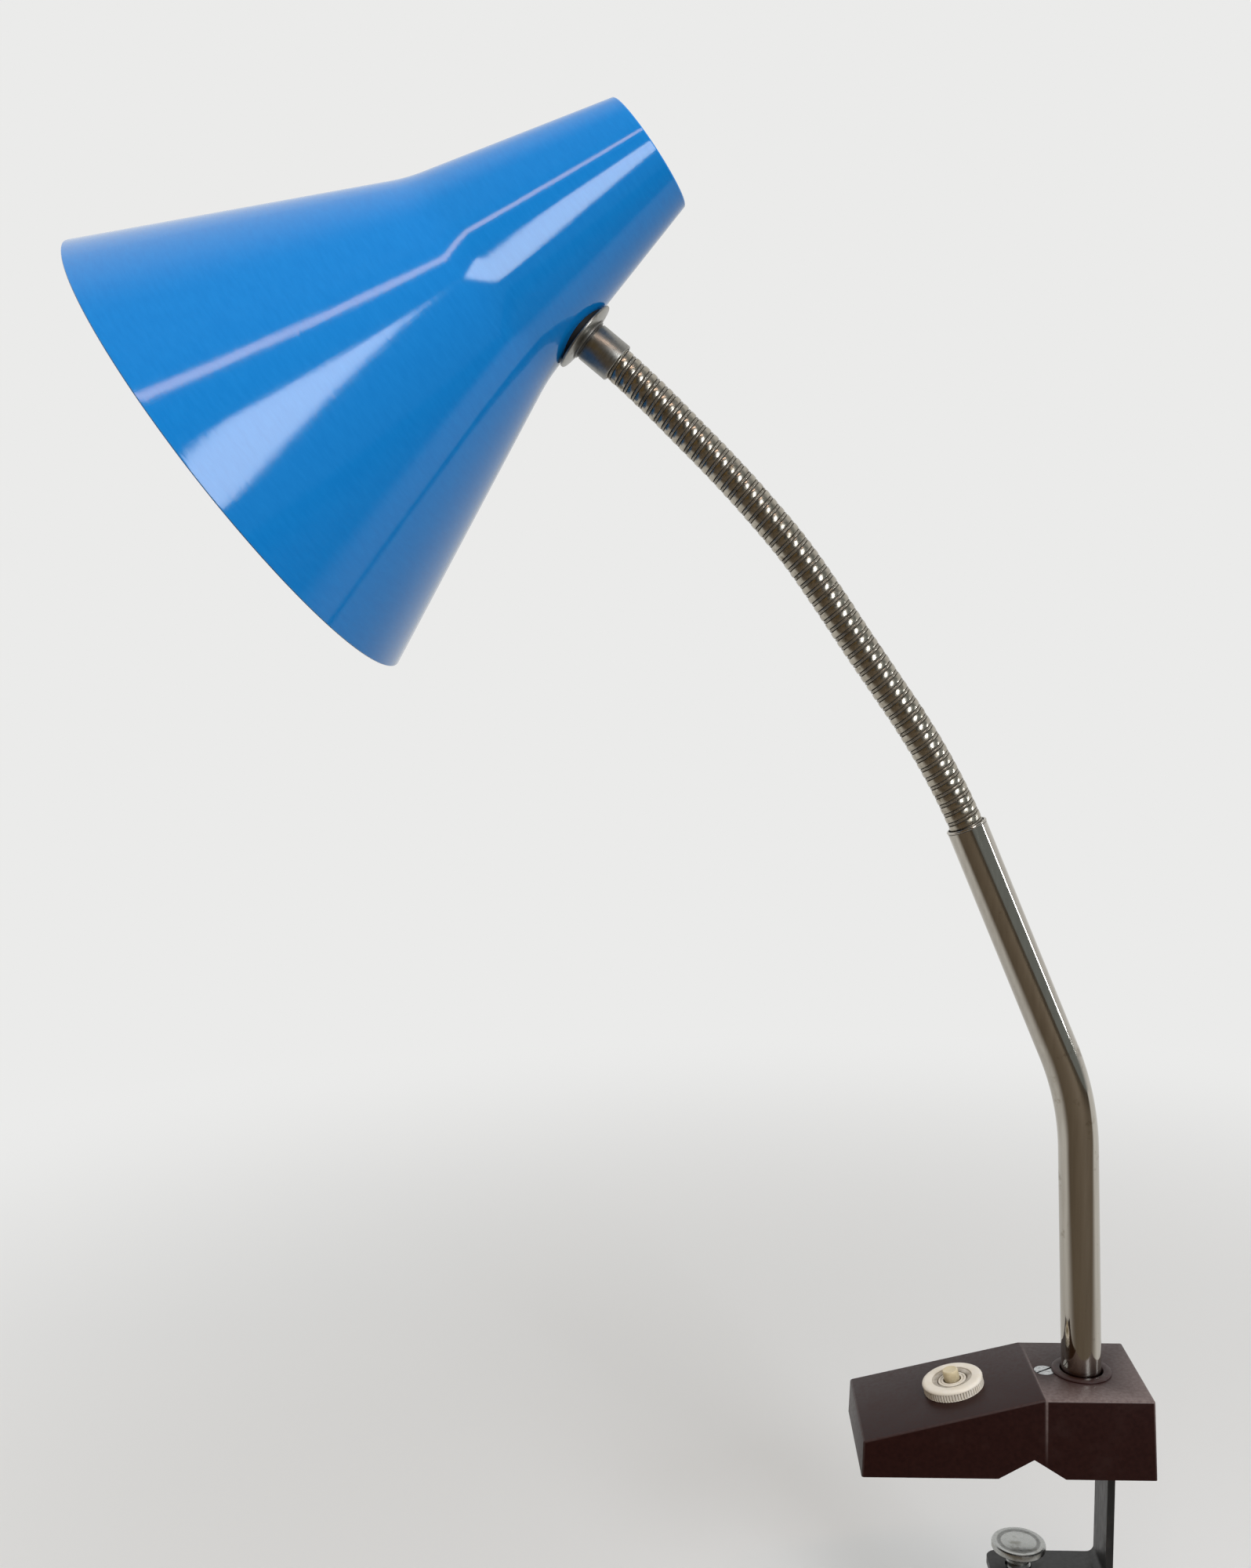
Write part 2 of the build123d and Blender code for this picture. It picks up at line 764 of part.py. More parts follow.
def make_bulb_cap():
    wall_in = bulb_cap_wall
    outside = [
        (0, bulb_cap_high), (4.5, bulb_cap_high), (bulb_cap_radius - 2, bulb_cap_high - 4),
        (bulb_cap_radius, bulb_cap_high - 6), (bulb_cap_radius, bulb_cap_low),
    ]
    inside = [
        (bulb_cap_radius - wall_in, bulb_cap_low), (bulb_cap_radius - wall_in, bulb_cap_high - 6),
        (bulb_cap_radius - 2 - wall_in, bulb_cap_high - 4 - wall_in), (4.5, bulb_cap_high - 2 * wall_in),
        (0, bulb_cap_high - 2 * wall_in),
    ]
    return shade_frame * turned(outside + inside)


def bulb_side(inset):
    """Half outline of the bulb from its neck to its tip, moved inwards."""
    tip = bulb_cap_high - bulb_length
    centre = tip + bulb_radius
    radius = bulb_radius - inset
    neck = bulb_cap_radius - 0.3 - inset
    rows = [(neck, bulb_cap_low), (neck + 2, bulb_cap_low - 14)]
    for degrees in (50, 26, 0, -26, -50, -72):
        a = math.radians(degrees)
        rows.append((radius * math.cos(a), centre + radius * math.sin(a)))
    rows.append((0, tip + inset))
    return rows


def make_bulb_glass():
    return shade_frame * turned(bulb_side(0) + bulb_side(bulb_wall)[::-1])


# Push switch, in a frame with Z square to the sloping roof

slope_a = math.radians(slope_angle)
switch_point = (
    ridge_x - switch_down_slope * math.cos(slope_a),
    0,
    block_height - switch_down_slope * math.sin(slope_a),
)
switch_frame = heading(switch_point, 90 + slope_angle)


def make_ring_nut():
    points = []
    for i in range(2 * ring_flutes):
        radius = ring_radius - flute_depth * (i % 2)
        a = math.pi * i / ring_flutes
        points.append((radius * math.cos(a), radius * math.sin(a)))
    band = extrude(make_face(Polyline(*points, close=True)), amount=ring_height - ring_bevel)
    body = turned([
        (0, 0), (ring_radius, 0), (ring_radius, ring_lip), (ring_radius - flute_depth, ring_lip),
        (ring_radius - flute_depth, ring_height - ring_bevel), (ring_radius - 2 * flute_depth, ring_height),
        (ring_step_radius, ring_height), (ring_step_radius, ring_height - ring_step_depth),
        (0, ring_height - ring_step_depth),
    ])
    return switch_frame * (body + band - rod(ring_bore, -1, ring_height + 1))


def make_bush():
    return switch_frame * ring(bush_radius, bush_bore, -roof, bush_top)


def make_switch_body():
    body = rod(switch_radius, -roof - switch_depth, -roof)
    body -= rod(switch_cavity_radius, -roof - switch_lid - switch_cavity_depth, -roof - switch_lid)
    return switch_frame * (body - rod(bush_bore, -roof - switch_lid - 1, 0))


def make_button():
    flange_high = -roof - switch_lid - 0.3
    stem = rod(button_radius, flange_high - 0.5, button_top)
    stem = chamfer(stem.edges().sort_by(Axis.Z)[-1], button_bevel)
    return switch_frame * (stem + rod(button_flange_radius, flange_high - button_flange, flange_high))


def make_terminals():
    low = -roof - switch_depth - terminal_height
    screw = rod(terminal_radius, low, low + terminal_height)
    return [switch_frame * Pos(0, side * terminal_spacing / 2) * screw for side in (-1, 1)]


# Cord grommet in the rear wall

grommet_point = (rear_x + lean * (block_height - grommet_level), grommet_offset, grommet_level)
grommet_frame = heading(grommet_point, draft)


def make_grommet():
    neck = rod(grommet_radius, -wall - grommet_flange, grommet_flange)
    outer = rod(grommet_flange_radius, grommet_clearance, grommet_flange)
    inner = rod(grommet_flange_radius - 0.5, -wall - grommet_clearance - grommet_flange, -wall - grommet_clearance)
    return grommet_frame * (neck + outer + inner - rod(grommet_bore, -3 * wall, 3 * wall))


pieces = {
    "base_housing": make_housing(),
    "bottom_plate": make_bottom_plate(),
    "cover_screws": make_cover_screws(),
    "housing_screw": make_housing_screw(),
    "clamp_strap": make_strap(),
    "clamp_boss": make_clamp_boss(),
    "clamp_screw": make_clamp_screw(),
    "clamp_knob": make_clamp_knob(),
    "clamp_pad": make_clamp_pad(),
    "post_tube": make_post_tube(),
    "post_foot": make_post_foot(),
    "friction_washer": make_friction_washer(),
    "spring_washer": make_spring_washer(),
    "stop_washer": make_stop_washer(),
    "post_nut": make_post_nut(),
    "ferrule": make_ferrule(),
    "shade": make_shade(),
    "shade_gasket": make_gasket(),
    "shade_washer": make_disc(),
    "head_nipple": make_head_nipple(),
    "head_washer": make_head_washer(),
    "head_nut": make_head_nut(),
    "holder_bracket": make_bracket(),
    "holder_nipple": make_holder_nipple(),
    "holder_nut": make_holder_nut(),
    "holder_cap": make_holder_cap(),
    "holder_skirt": make_holder_skirt(),
    "holder_core": make_holder_core(),
    "screw_shell": make_screw_shell(),
    "bulb_cap": make_bulb_cap(),
    "bulb_glass": make_bulb_glass(),
    "switch_ring_nut": make_ring_nut(),
    "switch_bush": make_bush(),
    "switch_body": make_switch_body(),
    "push_button": make_button(),
    "switch_terminals": make_terminals(),
    "cord_grommet": make_grommet(),
}
for index in range(link_count):
    pieces[f"neck_link_{index + 1:02d}"] = make_link(index)
pieces["neck_seat"] = make_neck_seat()
pieces["neck_end"] = make_neck_end()

os.makedirs("parts", exist_ok=True)
for name, piece in pieces.items():
    shape = Compound(children=piece) if isinstance(piece, list) else piece
    export_step(shape, f"parts/{name}.step")
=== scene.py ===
"""The looks of a clamp-on workshop lamp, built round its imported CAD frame. All lengths are metres."""

import json
import math

import bpy
from mathutils import Matrix, Vector

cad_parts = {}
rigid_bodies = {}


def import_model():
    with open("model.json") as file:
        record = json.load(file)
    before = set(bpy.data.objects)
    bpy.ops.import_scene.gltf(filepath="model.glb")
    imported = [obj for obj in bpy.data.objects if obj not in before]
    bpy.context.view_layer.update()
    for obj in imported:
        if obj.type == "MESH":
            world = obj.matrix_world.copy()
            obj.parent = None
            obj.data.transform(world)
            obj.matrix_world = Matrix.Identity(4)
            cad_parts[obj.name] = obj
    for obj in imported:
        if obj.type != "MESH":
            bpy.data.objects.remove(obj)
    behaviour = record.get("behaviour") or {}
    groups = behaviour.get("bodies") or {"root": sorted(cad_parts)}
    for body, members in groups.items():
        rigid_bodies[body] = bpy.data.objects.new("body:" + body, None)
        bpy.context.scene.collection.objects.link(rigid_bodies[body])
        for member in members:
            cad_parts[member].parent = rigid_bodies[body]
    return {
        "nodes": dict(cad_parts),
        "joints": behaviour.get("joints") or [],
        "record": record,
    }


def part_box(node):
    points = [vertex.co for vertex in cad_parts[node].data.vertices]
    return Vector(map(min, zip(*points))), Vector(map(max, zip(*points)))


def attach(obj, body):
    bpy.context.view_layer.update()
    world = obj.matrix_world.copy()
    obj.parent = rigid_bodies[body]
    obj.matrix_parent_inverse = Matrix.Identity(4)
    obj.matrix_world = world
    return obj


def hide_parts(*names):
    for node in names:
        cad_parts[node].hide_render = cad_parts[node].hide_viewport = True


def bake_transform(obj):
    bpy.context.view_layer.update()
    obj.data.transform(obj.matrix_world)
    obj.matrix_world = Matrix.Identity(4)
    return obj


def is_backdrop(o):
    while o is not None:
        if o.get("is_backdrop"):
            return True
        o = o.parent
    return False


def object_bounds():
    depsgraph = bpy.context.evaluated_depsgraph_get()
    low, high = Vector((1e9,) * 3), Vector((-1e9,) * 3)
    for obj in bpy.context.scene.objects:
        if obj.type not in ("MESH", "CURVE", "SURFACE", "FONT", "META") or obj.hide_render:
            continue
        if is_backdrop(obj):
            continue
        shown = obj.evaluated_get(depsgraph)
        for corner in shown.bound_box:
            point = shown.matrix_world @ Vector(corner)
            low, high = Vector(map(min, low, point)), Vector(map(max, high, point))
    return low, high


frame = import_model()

bl_info = {
    "name": "Clamp-on workshop lamp",
    "version": (1, 0, 0),
    "blender": (4, 5, 0),
    "location": "View3D > Sidebar > Lamp",
    "description": "Builds the lamp's shade, neck, post, base and switch with their finishes",
    "category": "Add Mesh",
}

MM = 0.001
PALE = "#EBEBEA"  # what the camera sees of the room behind the lamp
BLOCK_HEIGHT = 32.0  # the base's block, in mm, as are the next four
POST_X = 24.0
RING_HEIGHT = 4.6
BALL_RISE = 3.2  # from the mouth of a seat to the middle of the neck's ball in it
NIPPLE_LEVEL = 178.55  # from the shade's mouth to the middle of the lampholder's nipple
ROOF_SLOPE = math.radians(13.96)
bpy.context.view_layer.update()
JOINT = {j["name"]: Vector(j.get("pos_m", (0, 0, 0))) for j in frame["joints"]}
NECK = [JOINT[f"neck_{i:02d}"] for i in range(1, 13)]
LINKS = ["post"] + [f"link_{i:02d}" for i in range(1, 12)] + ["head"]


# Measures taken from the frame

def middle(node):
    """The middle of a CAD node's box."""
    low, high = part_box(node)
    return (low + high) / 2


def shade_axis():
    """The shade's axis: the middle of its mouth and the way to its narrow end."""
    low, high = middle("screw_shell"), middle("holder_nipple")
    along = (high - low).normalized()
    return high - along * NIPPLE_LEVEL * MM, along


def switch_axis():
    """The switch's axis: the middle of its ring's foot and the way out of the sloping roof."""
    along = Vector((-math.sin(ROOF_SLOPE), 0, math.cos(ROOF_SLOPE)))
    return middle("switch_ring_nut") - along * (RING_HEIGHT / 2) * MM, along


def ferrule_axis():
    """The ferrule's axis: where the neck enters it and the way into the shade."""
    along = (middle("head_nipple") - NECK[11]).normalized()
    return NECK[11] - along * BALL_RISE * MM, along


# Colours and materials

def colour(hex_code):
    """An sRGB hex value as the linear colour that a shader takes."""
    parts = [int(hex_code[i:i + 2], 16) / 255 for i in (1, 3, 5)]
    return (*[c / 12.92 if c <= 0.04045 else ((c + 0.055) / 1.055) ** 2.4 for c in parts], 1.0)


def add(material, kind, inputs=None, **settings):
    """One shader node with its settings. Each input takes a value, or another node's output to link."""
    tree = material.node_tree
    node = tree.nodes.new("ShaderNode" + kind)
    for name, value in settings.items():
        setattr(node, name, value)
    for name, value in (inputs or {}).items():
        if isinstance(value, bpy.types.NodeSocket):
            tree.links.new(value, node.inputs[name])
        else:
            node.inputs[name].default_value = value
    return node


def finish(name, first, second, grain, roughness, drift=0.05, stretch=(1, 1, 1), turn=(0, 0, 0), relief=0.0,
           patches=None, worn_and_highlit=None, dirt_and_shade=None, **sockets):
    """A finish whose colour and roughness drift together over a grain of a real size in mm, with its marks of use and
    its painted shade and highlight.

    stretch: how many times longer the grain runs along each axis of a frame turned by turn.
    patches: (colour, size in mm, share, roughness) of stains or thin places.
    worn_and_highlit: (colour, roughness) where the piece's own "edge" attribute says so: edges paled by handling, and
    on the housing a painted highlight.
    dirt_and_shade: (colour, roughness) where its "grime" attribute says so: soiling together with painted shade in
    bores, grooves and recesses."""
    material = bpy.data.materials.new(name)
    material.use_nodes = True
    material.node_tree.nodes.clear()
    where = add(material, "TexCoord").outputs["Object"]
    laid = add(material, "Mapping", {"Vector": where, "Rotation": turn, "Scale": stretch},
               vector_type="TEXTURE").outputs["Vector"]
    noise = add(material, "TexNoise", {"Vector": laid, "Scale": 1 / (grain * MM), "Detail": 5.0,
                                       "Roughness": 0.6}).outputs["Fac"]
    share = add(material, "MapRange", {"Value": noise, "From Min": 0.3, "From Max": 0.7}).outputs["Result"]
    first, second = (colour(c) if isinstance(c, str) else tuple(c) for c in (first, second))
    tone = add(material, "Mix", {"Factor": share, "A": first, "B": second}, data_type="RGBA").outputs[2]
    rough = add(material, "MapRange", {"Value": share, "To Min": roughness - drift,
                                       "To Max": roughness + drift}).outputs["Result"]
    marks = []
    if patches:
        blot = add(material, "TexNoise", {"Vector": where, "Scale": 1 / (patches[1] * MM), "Detail": 8.0,
                                          "Roughness": 0.65}).outputs["Fac"]
        edge = 0.62 - 0.25 * patches[2]
        blot = add(material, "MapRange", {"Value": blot, "From Min": edge, "From Max": edge + 0.12}).outputs["Result"]
        marks.append((blot, patches[0], patches[3]))
    # Paler edges are real use and, on the housing, a painted highlight; the dark marks are soiling together with
    # painted shade in recesses.
    for mark, attribute in ((worn_and_highlit, "edge"), (dirt_and_shade, "grime")):
        if mark:
            amount = add(material, "Attribute", attribute_name=attribute).outputs["Fac"]
            broken = add(material, "MapRange", {"Value": noise, "From Min": 0.25, "From Max": 0.65, "To Min": 1.0,
                                                "To Max": 0.55}).outputs["Result"]
            marks.append((add(material, "Math", {0: amount, 1: broken}, operation="MULTIPLY").outputs[0], *mark))
    sockets = {socket.replace("_", " "): value for socket, value in sockets.items()}
    metal = sockets.get("Metallic", 0.0)
    for amount, hex_code, smooth in marks:
        tone = add(material, "Mix", {"Factor": amount, "A": tone, "B": colour(hex_code)}, data_type="RGBA").outputs[2]
        rough = add(material, "Mix", {"Factor": amount, "A": rough, "B": smooth}).outputs[0]
    if metal and dirt_and_shade:
        metal = add(material, "MapRange", {"Value": marks[-1][0], "To Min": 1.0, "To Max": 0.2}).outputs["Result"]
    look = {"Base Color": tone, "Roughness": rough, **sockets, "Metallic": metal}
    if relief:
        look["Normal"] = add(material, "Bump", {"Height": noise, "Distance": relief * MM,
                                                "Strength": 1.0}).outputs["Normal"]
    shader = add(material, "BsdfPrincipled", look)
    add(material, "OutputMaterial", {"Surface": shader.outputs["BSDF"]})
    return material


FINISH = {}


def make_finishes():
    """Every finish of the lamp, with what each gives the eye."""
    chosen = bpy.context.scene.lamp_colours
    steel = {"Metallic": 1.0}
    tilt = (0, math.radians(-50.2), 0)
    FINISH.update({
        # Stove enamel on spun sheet: a wet gloss, with the spinning's fine rings just showing through at 1.3 mm.
        "blue_enamel": finish("blue_stove_enamel", chosen.enamel, chosen.enamel_drift, 1.3, 0.08, 0.01,
                              stretch=(5, 5, 1), turn=(0, math.radians(54.7), 0), relief=0.02, Specular_IOR_Level=0.4),
        # White enamel on the inside: semi-gloss, warmed and dusted by the bulb's heat.
        "white_enamel": finish("white_stove_enamel", "#E4E2DA", "#EFEEE9", 14.0, 0.3, 0.06, relief=0.006,
                               patches=("#E2DDD0", 60.0, 0.1, 0.34)),
        # Moulded phenolic rubbed satin by hands: near-black maroon, paler where its edges are worn, with a painted
        # highlight along the block's front top edge.
        "bakelite": finish("maroon_phenolic_moulding", chosen.housing, chosen.housing_drift, 1.6, 0.4, 0.06,
                           relief=0.008, worn_and_highlit=("#9A8A86", 0.3), patches=("#2E1815", 22.0, 0.2, 0.48),
                           Specular_IOR_Level=0.22),
        # Urea plastic gone cream, dark in its bore, steps, flutes and underside: dirt together with painted shade.
        "cream": finish("cream_urea_plastic", chosen.ring, chosen.ring_drift, 3.0, 0.36, 0.05, relief=0.004,
                        dirt_and_shade=("#4A3B26", 0.7)),
        # The button, yellowed deeper than its ring by fingers.
        "ivory": finish("yellowed_urea_plastic", chosen.button, chosen.button_drift, 2.0, 0.33, 0.05,
                        dirt_and_shade=("#5A4A2C", 0.6)),
        # Nickel on drawn tube: a mirror with faint wipe marks along its length.
        "tube": finish("polished_nickel_tube", chosen.tube, chosen.tube_drift, 2.0, 0.075, 0.025, stretch=(1, 1, 20),
                       patches=("#8D8474", 9.0, 0.05, 0.2), dirt_and_shade=("#15120D", 0.6), **steel),
        # Nickel on wound strip: rubbed bright on its crests, dark in every groove with grime and painted shade.
        "neck": finish("worn_nickel_strip", chosen.neck, chosen.neck_drift, 1.2, 0.24, 0.06, relief=0.01,
                       patches=("#7F7665", 4.0, 0.3, 0.4), dirt_and_shade=("#1A1712", 0.7), **steel),
        # Turned steel left bare: satin, its turning marks drawn as fine rings round its own axis.
        "satin": finish("satin_turned_steel", "#8F8D87", "#A3A19A", 0.5, 0.34, 0.05, stretch=(8, 8, 1), turn=tilt,
                        relief=0.004, patches=("#6F6A5E", 3.0, 0.1, 0.5), dirt_and_shade=("#17140F", 0.6), **steel),
        # Bright zinc plate: cool and slightly cloudy, dulled in blots.
        "zinc": finish("bright_zinc_plate", "#A6A8A6", "#BABBB8", 1.5, 0.28, 0.06, relief=0.004,
                       patches=("#96968F", 5.0, 0.25, 0.38), dirt_and_shade=("#25221C", 0.6), **steel),
        # Aluminium screw head: pale, scratched and matt.
        "alloy": finish("scratched_aluminium", "#B9BBBC", "#CFD1D2", 0.5, 0.36, 0.08, stretch=(1, 5, 1), relief=0.01,
                        patches=("#8B8C8C", 1.6, 0.4, 0.5), **steel),
        # Air-dried black paint on strip steel: dull with fine brush grain.
        "black_paint": finish("black_air_dried_paint", "#0F0F0F", "#1A1A1A", 1.4, 0.42, 0.08, stretch=(1, 1, 4),
                              relief=0.015, patches=("#2B2825", 12.0, 0.25, 0.55), worn_and_highlit=("#6B6862", 0.35)),
        # Black phenolic of the inner parts and the knob: an even satin with a slight mottle.
        "phenolic": finish("black_phenolic_moulding", "#131212", "#1E1C1B", 2.0, 0.38, 0.06, relief=0.006,
                           worn_and_highlit=("#3A3734", 0.3), dirt_and_shade=("#2E2A24", 0.8)),
        # Soft black rubber: matt, its surface slightly grainy.
        "rubber": finish("black_rubber", "#101010", "#191919", 0.6, 0.7, 0.08, relief=0.02),
        # Glazed porcelain: white and wet.
        "porcelain": finish("glazed_porcelain", "#E7E5DD", "#F0EFE9", 5.0, 0.16, 0.03,
                            patches=("#D2CCBC", 2.0, 0.1, 0.3)),
        # Drawn brass: warm, with brown tarnish in blots.
        "brass": finish("drawn_brass", "#BE9850", "#CCA960", 1.2, 0.28, 0.06, stretch=(1, 1, 3),
                        patches=("#8A6A34", 4.0, 0.5, 0.45), **steel),
        # Opal glass, frosted inside: milk white under a clear gloss.
        "opal": finish("opal_glass", "#ECEAE3", "#F3F2ED", 25.0, 0.08, 0.02, Subsurface_Weight=0.15,
                       Subsurface_Scale=0.004, Coat_Weight=0.3),
    })


def wear(piece, *names):
    """Gives a piece its finishes, one material slot each."""
    piece.data.materials.clear()
    for name in names:
        piece.data.materials.append(FINISH[name])


def mark(piece, attribute, amount):
    """Writes an amount for each point, from its distance off Z and its height in mm: paler edges for "edge", dark
    soiling with painted shade for "grime".
    """
    layer = piece.data.attributes.new(attribute, "FLOAT", "POINT")
    for point, v in zip(layer.data, piece.data.vertices):
        point.value = amount(math.hypot(v.co.x, v.co.y) / MM, v.co.z / MM)


# Modelling by hand

def clear():
    """Leaves edit mode and deselects everything."""
    if bpy.context.object and bpy.context.object.mode != "OBJECT":
        bpy.ops.object.mode_set(mode="OBJECT")
    bpy.ops.object.select_all(action="DESELECT")


def pick(piece):
    """Makes a piece the active one and the only one selected."""
    clear()
    bpy.context.view_layer.objects.active = piece
    piece.select_set(True)


def weld(threshold=1e-6):
    """Merges the doubles of the piece in edit mode, turns its normals outward and leaves edit mode."""
    bpy.ops.mesh.select_all(action="SELECT")
    bpy.ops.mesh.remove_doubles(threshold=threshold)
    bpy.ops.mesh.normals_make_consistent(inside=False)
    bpy.ops.object.mode_set(mode="OBJECT")


def edit(piece, picked=None, mode="VERT"):
    """Opens a piece in edit mode with the elements picked, or all of them, selected."""
    pick(piece)
    mesh = piece.data
    for group in (mesh.vertices, mesh.edges, mesh.polygons):
        group.foreach_set("select", [picked is None] * len(group))
    if picked is not None:
        group = {"VERT": mesh.vertices, "EDGE": mesh.edges, "FACE": mesh.polygons}[mode]
        for element in group:
            element.select = bool(picked(element))
    bpy.context.tool_settings.mesh_select_mode = (mode == "VERT", mode == "EDGE", mode == "FACE")
    bpy.ops.object.mode_set(mode="EDIT")


def done(piece, smooth=35):
    """Shades a finished piece smooth up to an angle in degrees."""
    pick(piece)
    bpy.ops.object.shade_smooth_by_angle(angle=math.radians(smooth))
    return piece


def modify(piece, kind, **settings):
    """Adds one modifier with its settings and applies it."""
    pick(piece)
    modifier = piece.modifiers.new(kind.title(), kind)
    for name, value in settings.items():
        setattr(modifier, name, value)
    bpy.ops.object.modifier_apply(modifier=modifier.name)


def place(piece, origin, along):
    """Stands a piece that was made round Z on an axis of the lamp's mid plane, with its place in its mesh."""
    x, z = along[0], along[2]
    pick(piece)
    turn = Matrix(((z, 0, x, origin[0]), (0, 1, 0, origin[1]), (-x, 0, z, origin[2]), (0, 0, 0, 1)))
    piece.matrix_world = turn
    bpy.ops.object.transform_apply(location=True, rotation=True, scale=True)


def drawn(name, profile):
    """A line drawn as by hand: one point extruded along the profile's (radius, height) points, in mm."""
    clear()
    bpy.context.tool_settings.mesh_select_mode = (True, False, False)
    bpy.ops.mesh.primitive_plane_add(size=0.01)
    piece = bpy.context.object
    piece.name = piece.data.name = name
    bpy.ops.object.mode_set(mode="EDIT")
    bpy.ops.mesh.merge(type="CENTER")
    bpy.ops.transform.translate(value=(profile[0][0] * MM, 0, profile[0][1] * MM))
    for (r0, z0), (r1, z1) in zip(profile, profile[1:]):
        bpy.ops.mesh.extrude_region_move(TRANSFORM_OT_translate={"value": ((r1 - r0) * MM, 0, (z1 - z0) * MM)})
    return piece


def turned(name, profile, steps=96, smooth=35):
    """A turned piece: its profile spun about Z and welded."""
    piece = drawn(name, profile)
    bpy.ops.mesh.select_all(action="SELECT")
    bpy.ops.mesh.spin(steps=steps, angle=2 * math.pi, center=(0, 0, 0), axis=(0, 0, 1))
    weld()
    return done(piece, smooth)


def settle(piece, body, slot, *nodes):
    """Says which body carries a piece and which CAD nodes it stands for. The slot is not used."""
    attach(piece, body)
    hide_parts(*nodes)


def between(low, foot, high, head):
    """A profile in mm whose foot is measured up from one height and whose head from another."""
    return [(r, low + z) for r, z in foot] + [(r, high + z) for r, z in head]


def wound(name, profile, pitch, turns, steps):
    """A profile of one pitch wound about Z and welded: up for a right-hand thread, down for a negative pitch."""
    piece = drawn(name, profile)
    bpy.ops.object.mode_set(mode="OBJECT")
    modify(piece, "SCREW", angle=math.copysign(2 * math.pi, pitch), screw_offset=pitch * MM, iterations=turns,
           steps=steps, render_steps=steps, use_merge_vertices=True, merge_threshold=1e-6)
    edit(piece)
    weld()
    return piece


def fitted(name, profile, steps, grime, finish_name, axis, *settled):
    """A turned piece with its soiling and painted shade and its finish, stood on its axis and settled on its body."""
    piece = turned(name, profile, steps=steps, smooth=30)
    mark(piece, "grime", grime)
    wear(piece, finish_name)
    place(piece, *axis)
    settle(piece, *settled)


def parted(piece, picked, name):
    """The picked faces of a piece, as a piece of their own."""
    edit(piece, picked, "FACE")
    bpy.ops.mesh.separate(type="SELECTED")
    clear()
    part = [o for o in bpy.data.objects if o.name.startswith(piece.name + ".")][-1]
    part.name = part.data.name = name
    return part


# Sizes and colours that a user would change

def tone(name, description, hex_code):
    """A colour that a user may change."""
    return bpy.props.FloatVectorProperty(name=name, description=description, subtype="COLOR", size=4, min=0.0, max=1.0,
                                         default=colour(hex_code))


class LampColours(bpy.types.PropertyGroup):
    """The lamp's visible colours: each finish drifts between two close tones."""
    enamel: tone("Enamel", "Blue stove enamel of the shade", "#0B84D8")
    enamel_drift: tone("Enamel, drifting to", "Tone that the enamel drifts to", "#138BDE")
    housing: tone("Housing", "Maroon moulding of the base", "#210A09")
    housing_drift: tone("Housing, drifting to", "Tone that the moulding drifts to", "#2C110D")
    ring: tone("Switch ring", "Cream plastic of the ring and bush", "#F3E9D6")
    ring_drift: tone("Switch ring, drifting to", "Tone that the cream plastic drifts to", "#F8F1E4")
    button: tone("Button", "Yellowed plastic of the push button", "#E3D3AA")
    button_drift: tone("Button, drifting to", "Tone that the button drifts to", "#EBDDBB")
    tube: tone("Tube", "Nickel of the post's tube", "#B1ABA1")
    tube_drift: tone("Tube, drifting to", "Tone that the tube's nickel drifts to", "#BFBAB0")
    neck: tone("Neck", "Nickel of the wound neck", "#A39C8E")
    neck_drift: tone("Neck, drifting to", "Tone that the neck's nickel drifts to", "#BDB6A8")


def size(name, description, metres):
    """A size that a user may change."""
    return bpy.props.FloatProperty(name=name, description=description, default=metres, min=0.001, unit="LENGTH")


class LampSizes(bpy.types.PropertyGroup):
    """The lamp's visible sizes, as its CAD source has them."""
    mouth_radius: size("Mouth radius", "Outer radius of the shade's mouth", 0.0997)
    waist_radius: size("Waist radius", "Outer radius where the two cones meet", 0.0453)
    top_radius: size("Top radius", "Outer radius of the shade's narrow end", 0.0239)
    flare_length: size("Flare length", "Length of the wide cone along the axis", 0.1155)
    cone_length: size("Cone length", "Length of the narrow cone along the axis", 0.0804)
    tube_radius: size("Tube radius", "Outer radius of the post's tube", 0.008)
    neck_radius: size("Neck radius", "Outer radius of the wound neck's crests", 0.0068)
    rib_pitch: size("Rib pitch", "Advance of the neck's winding in one turn", 0.004125)


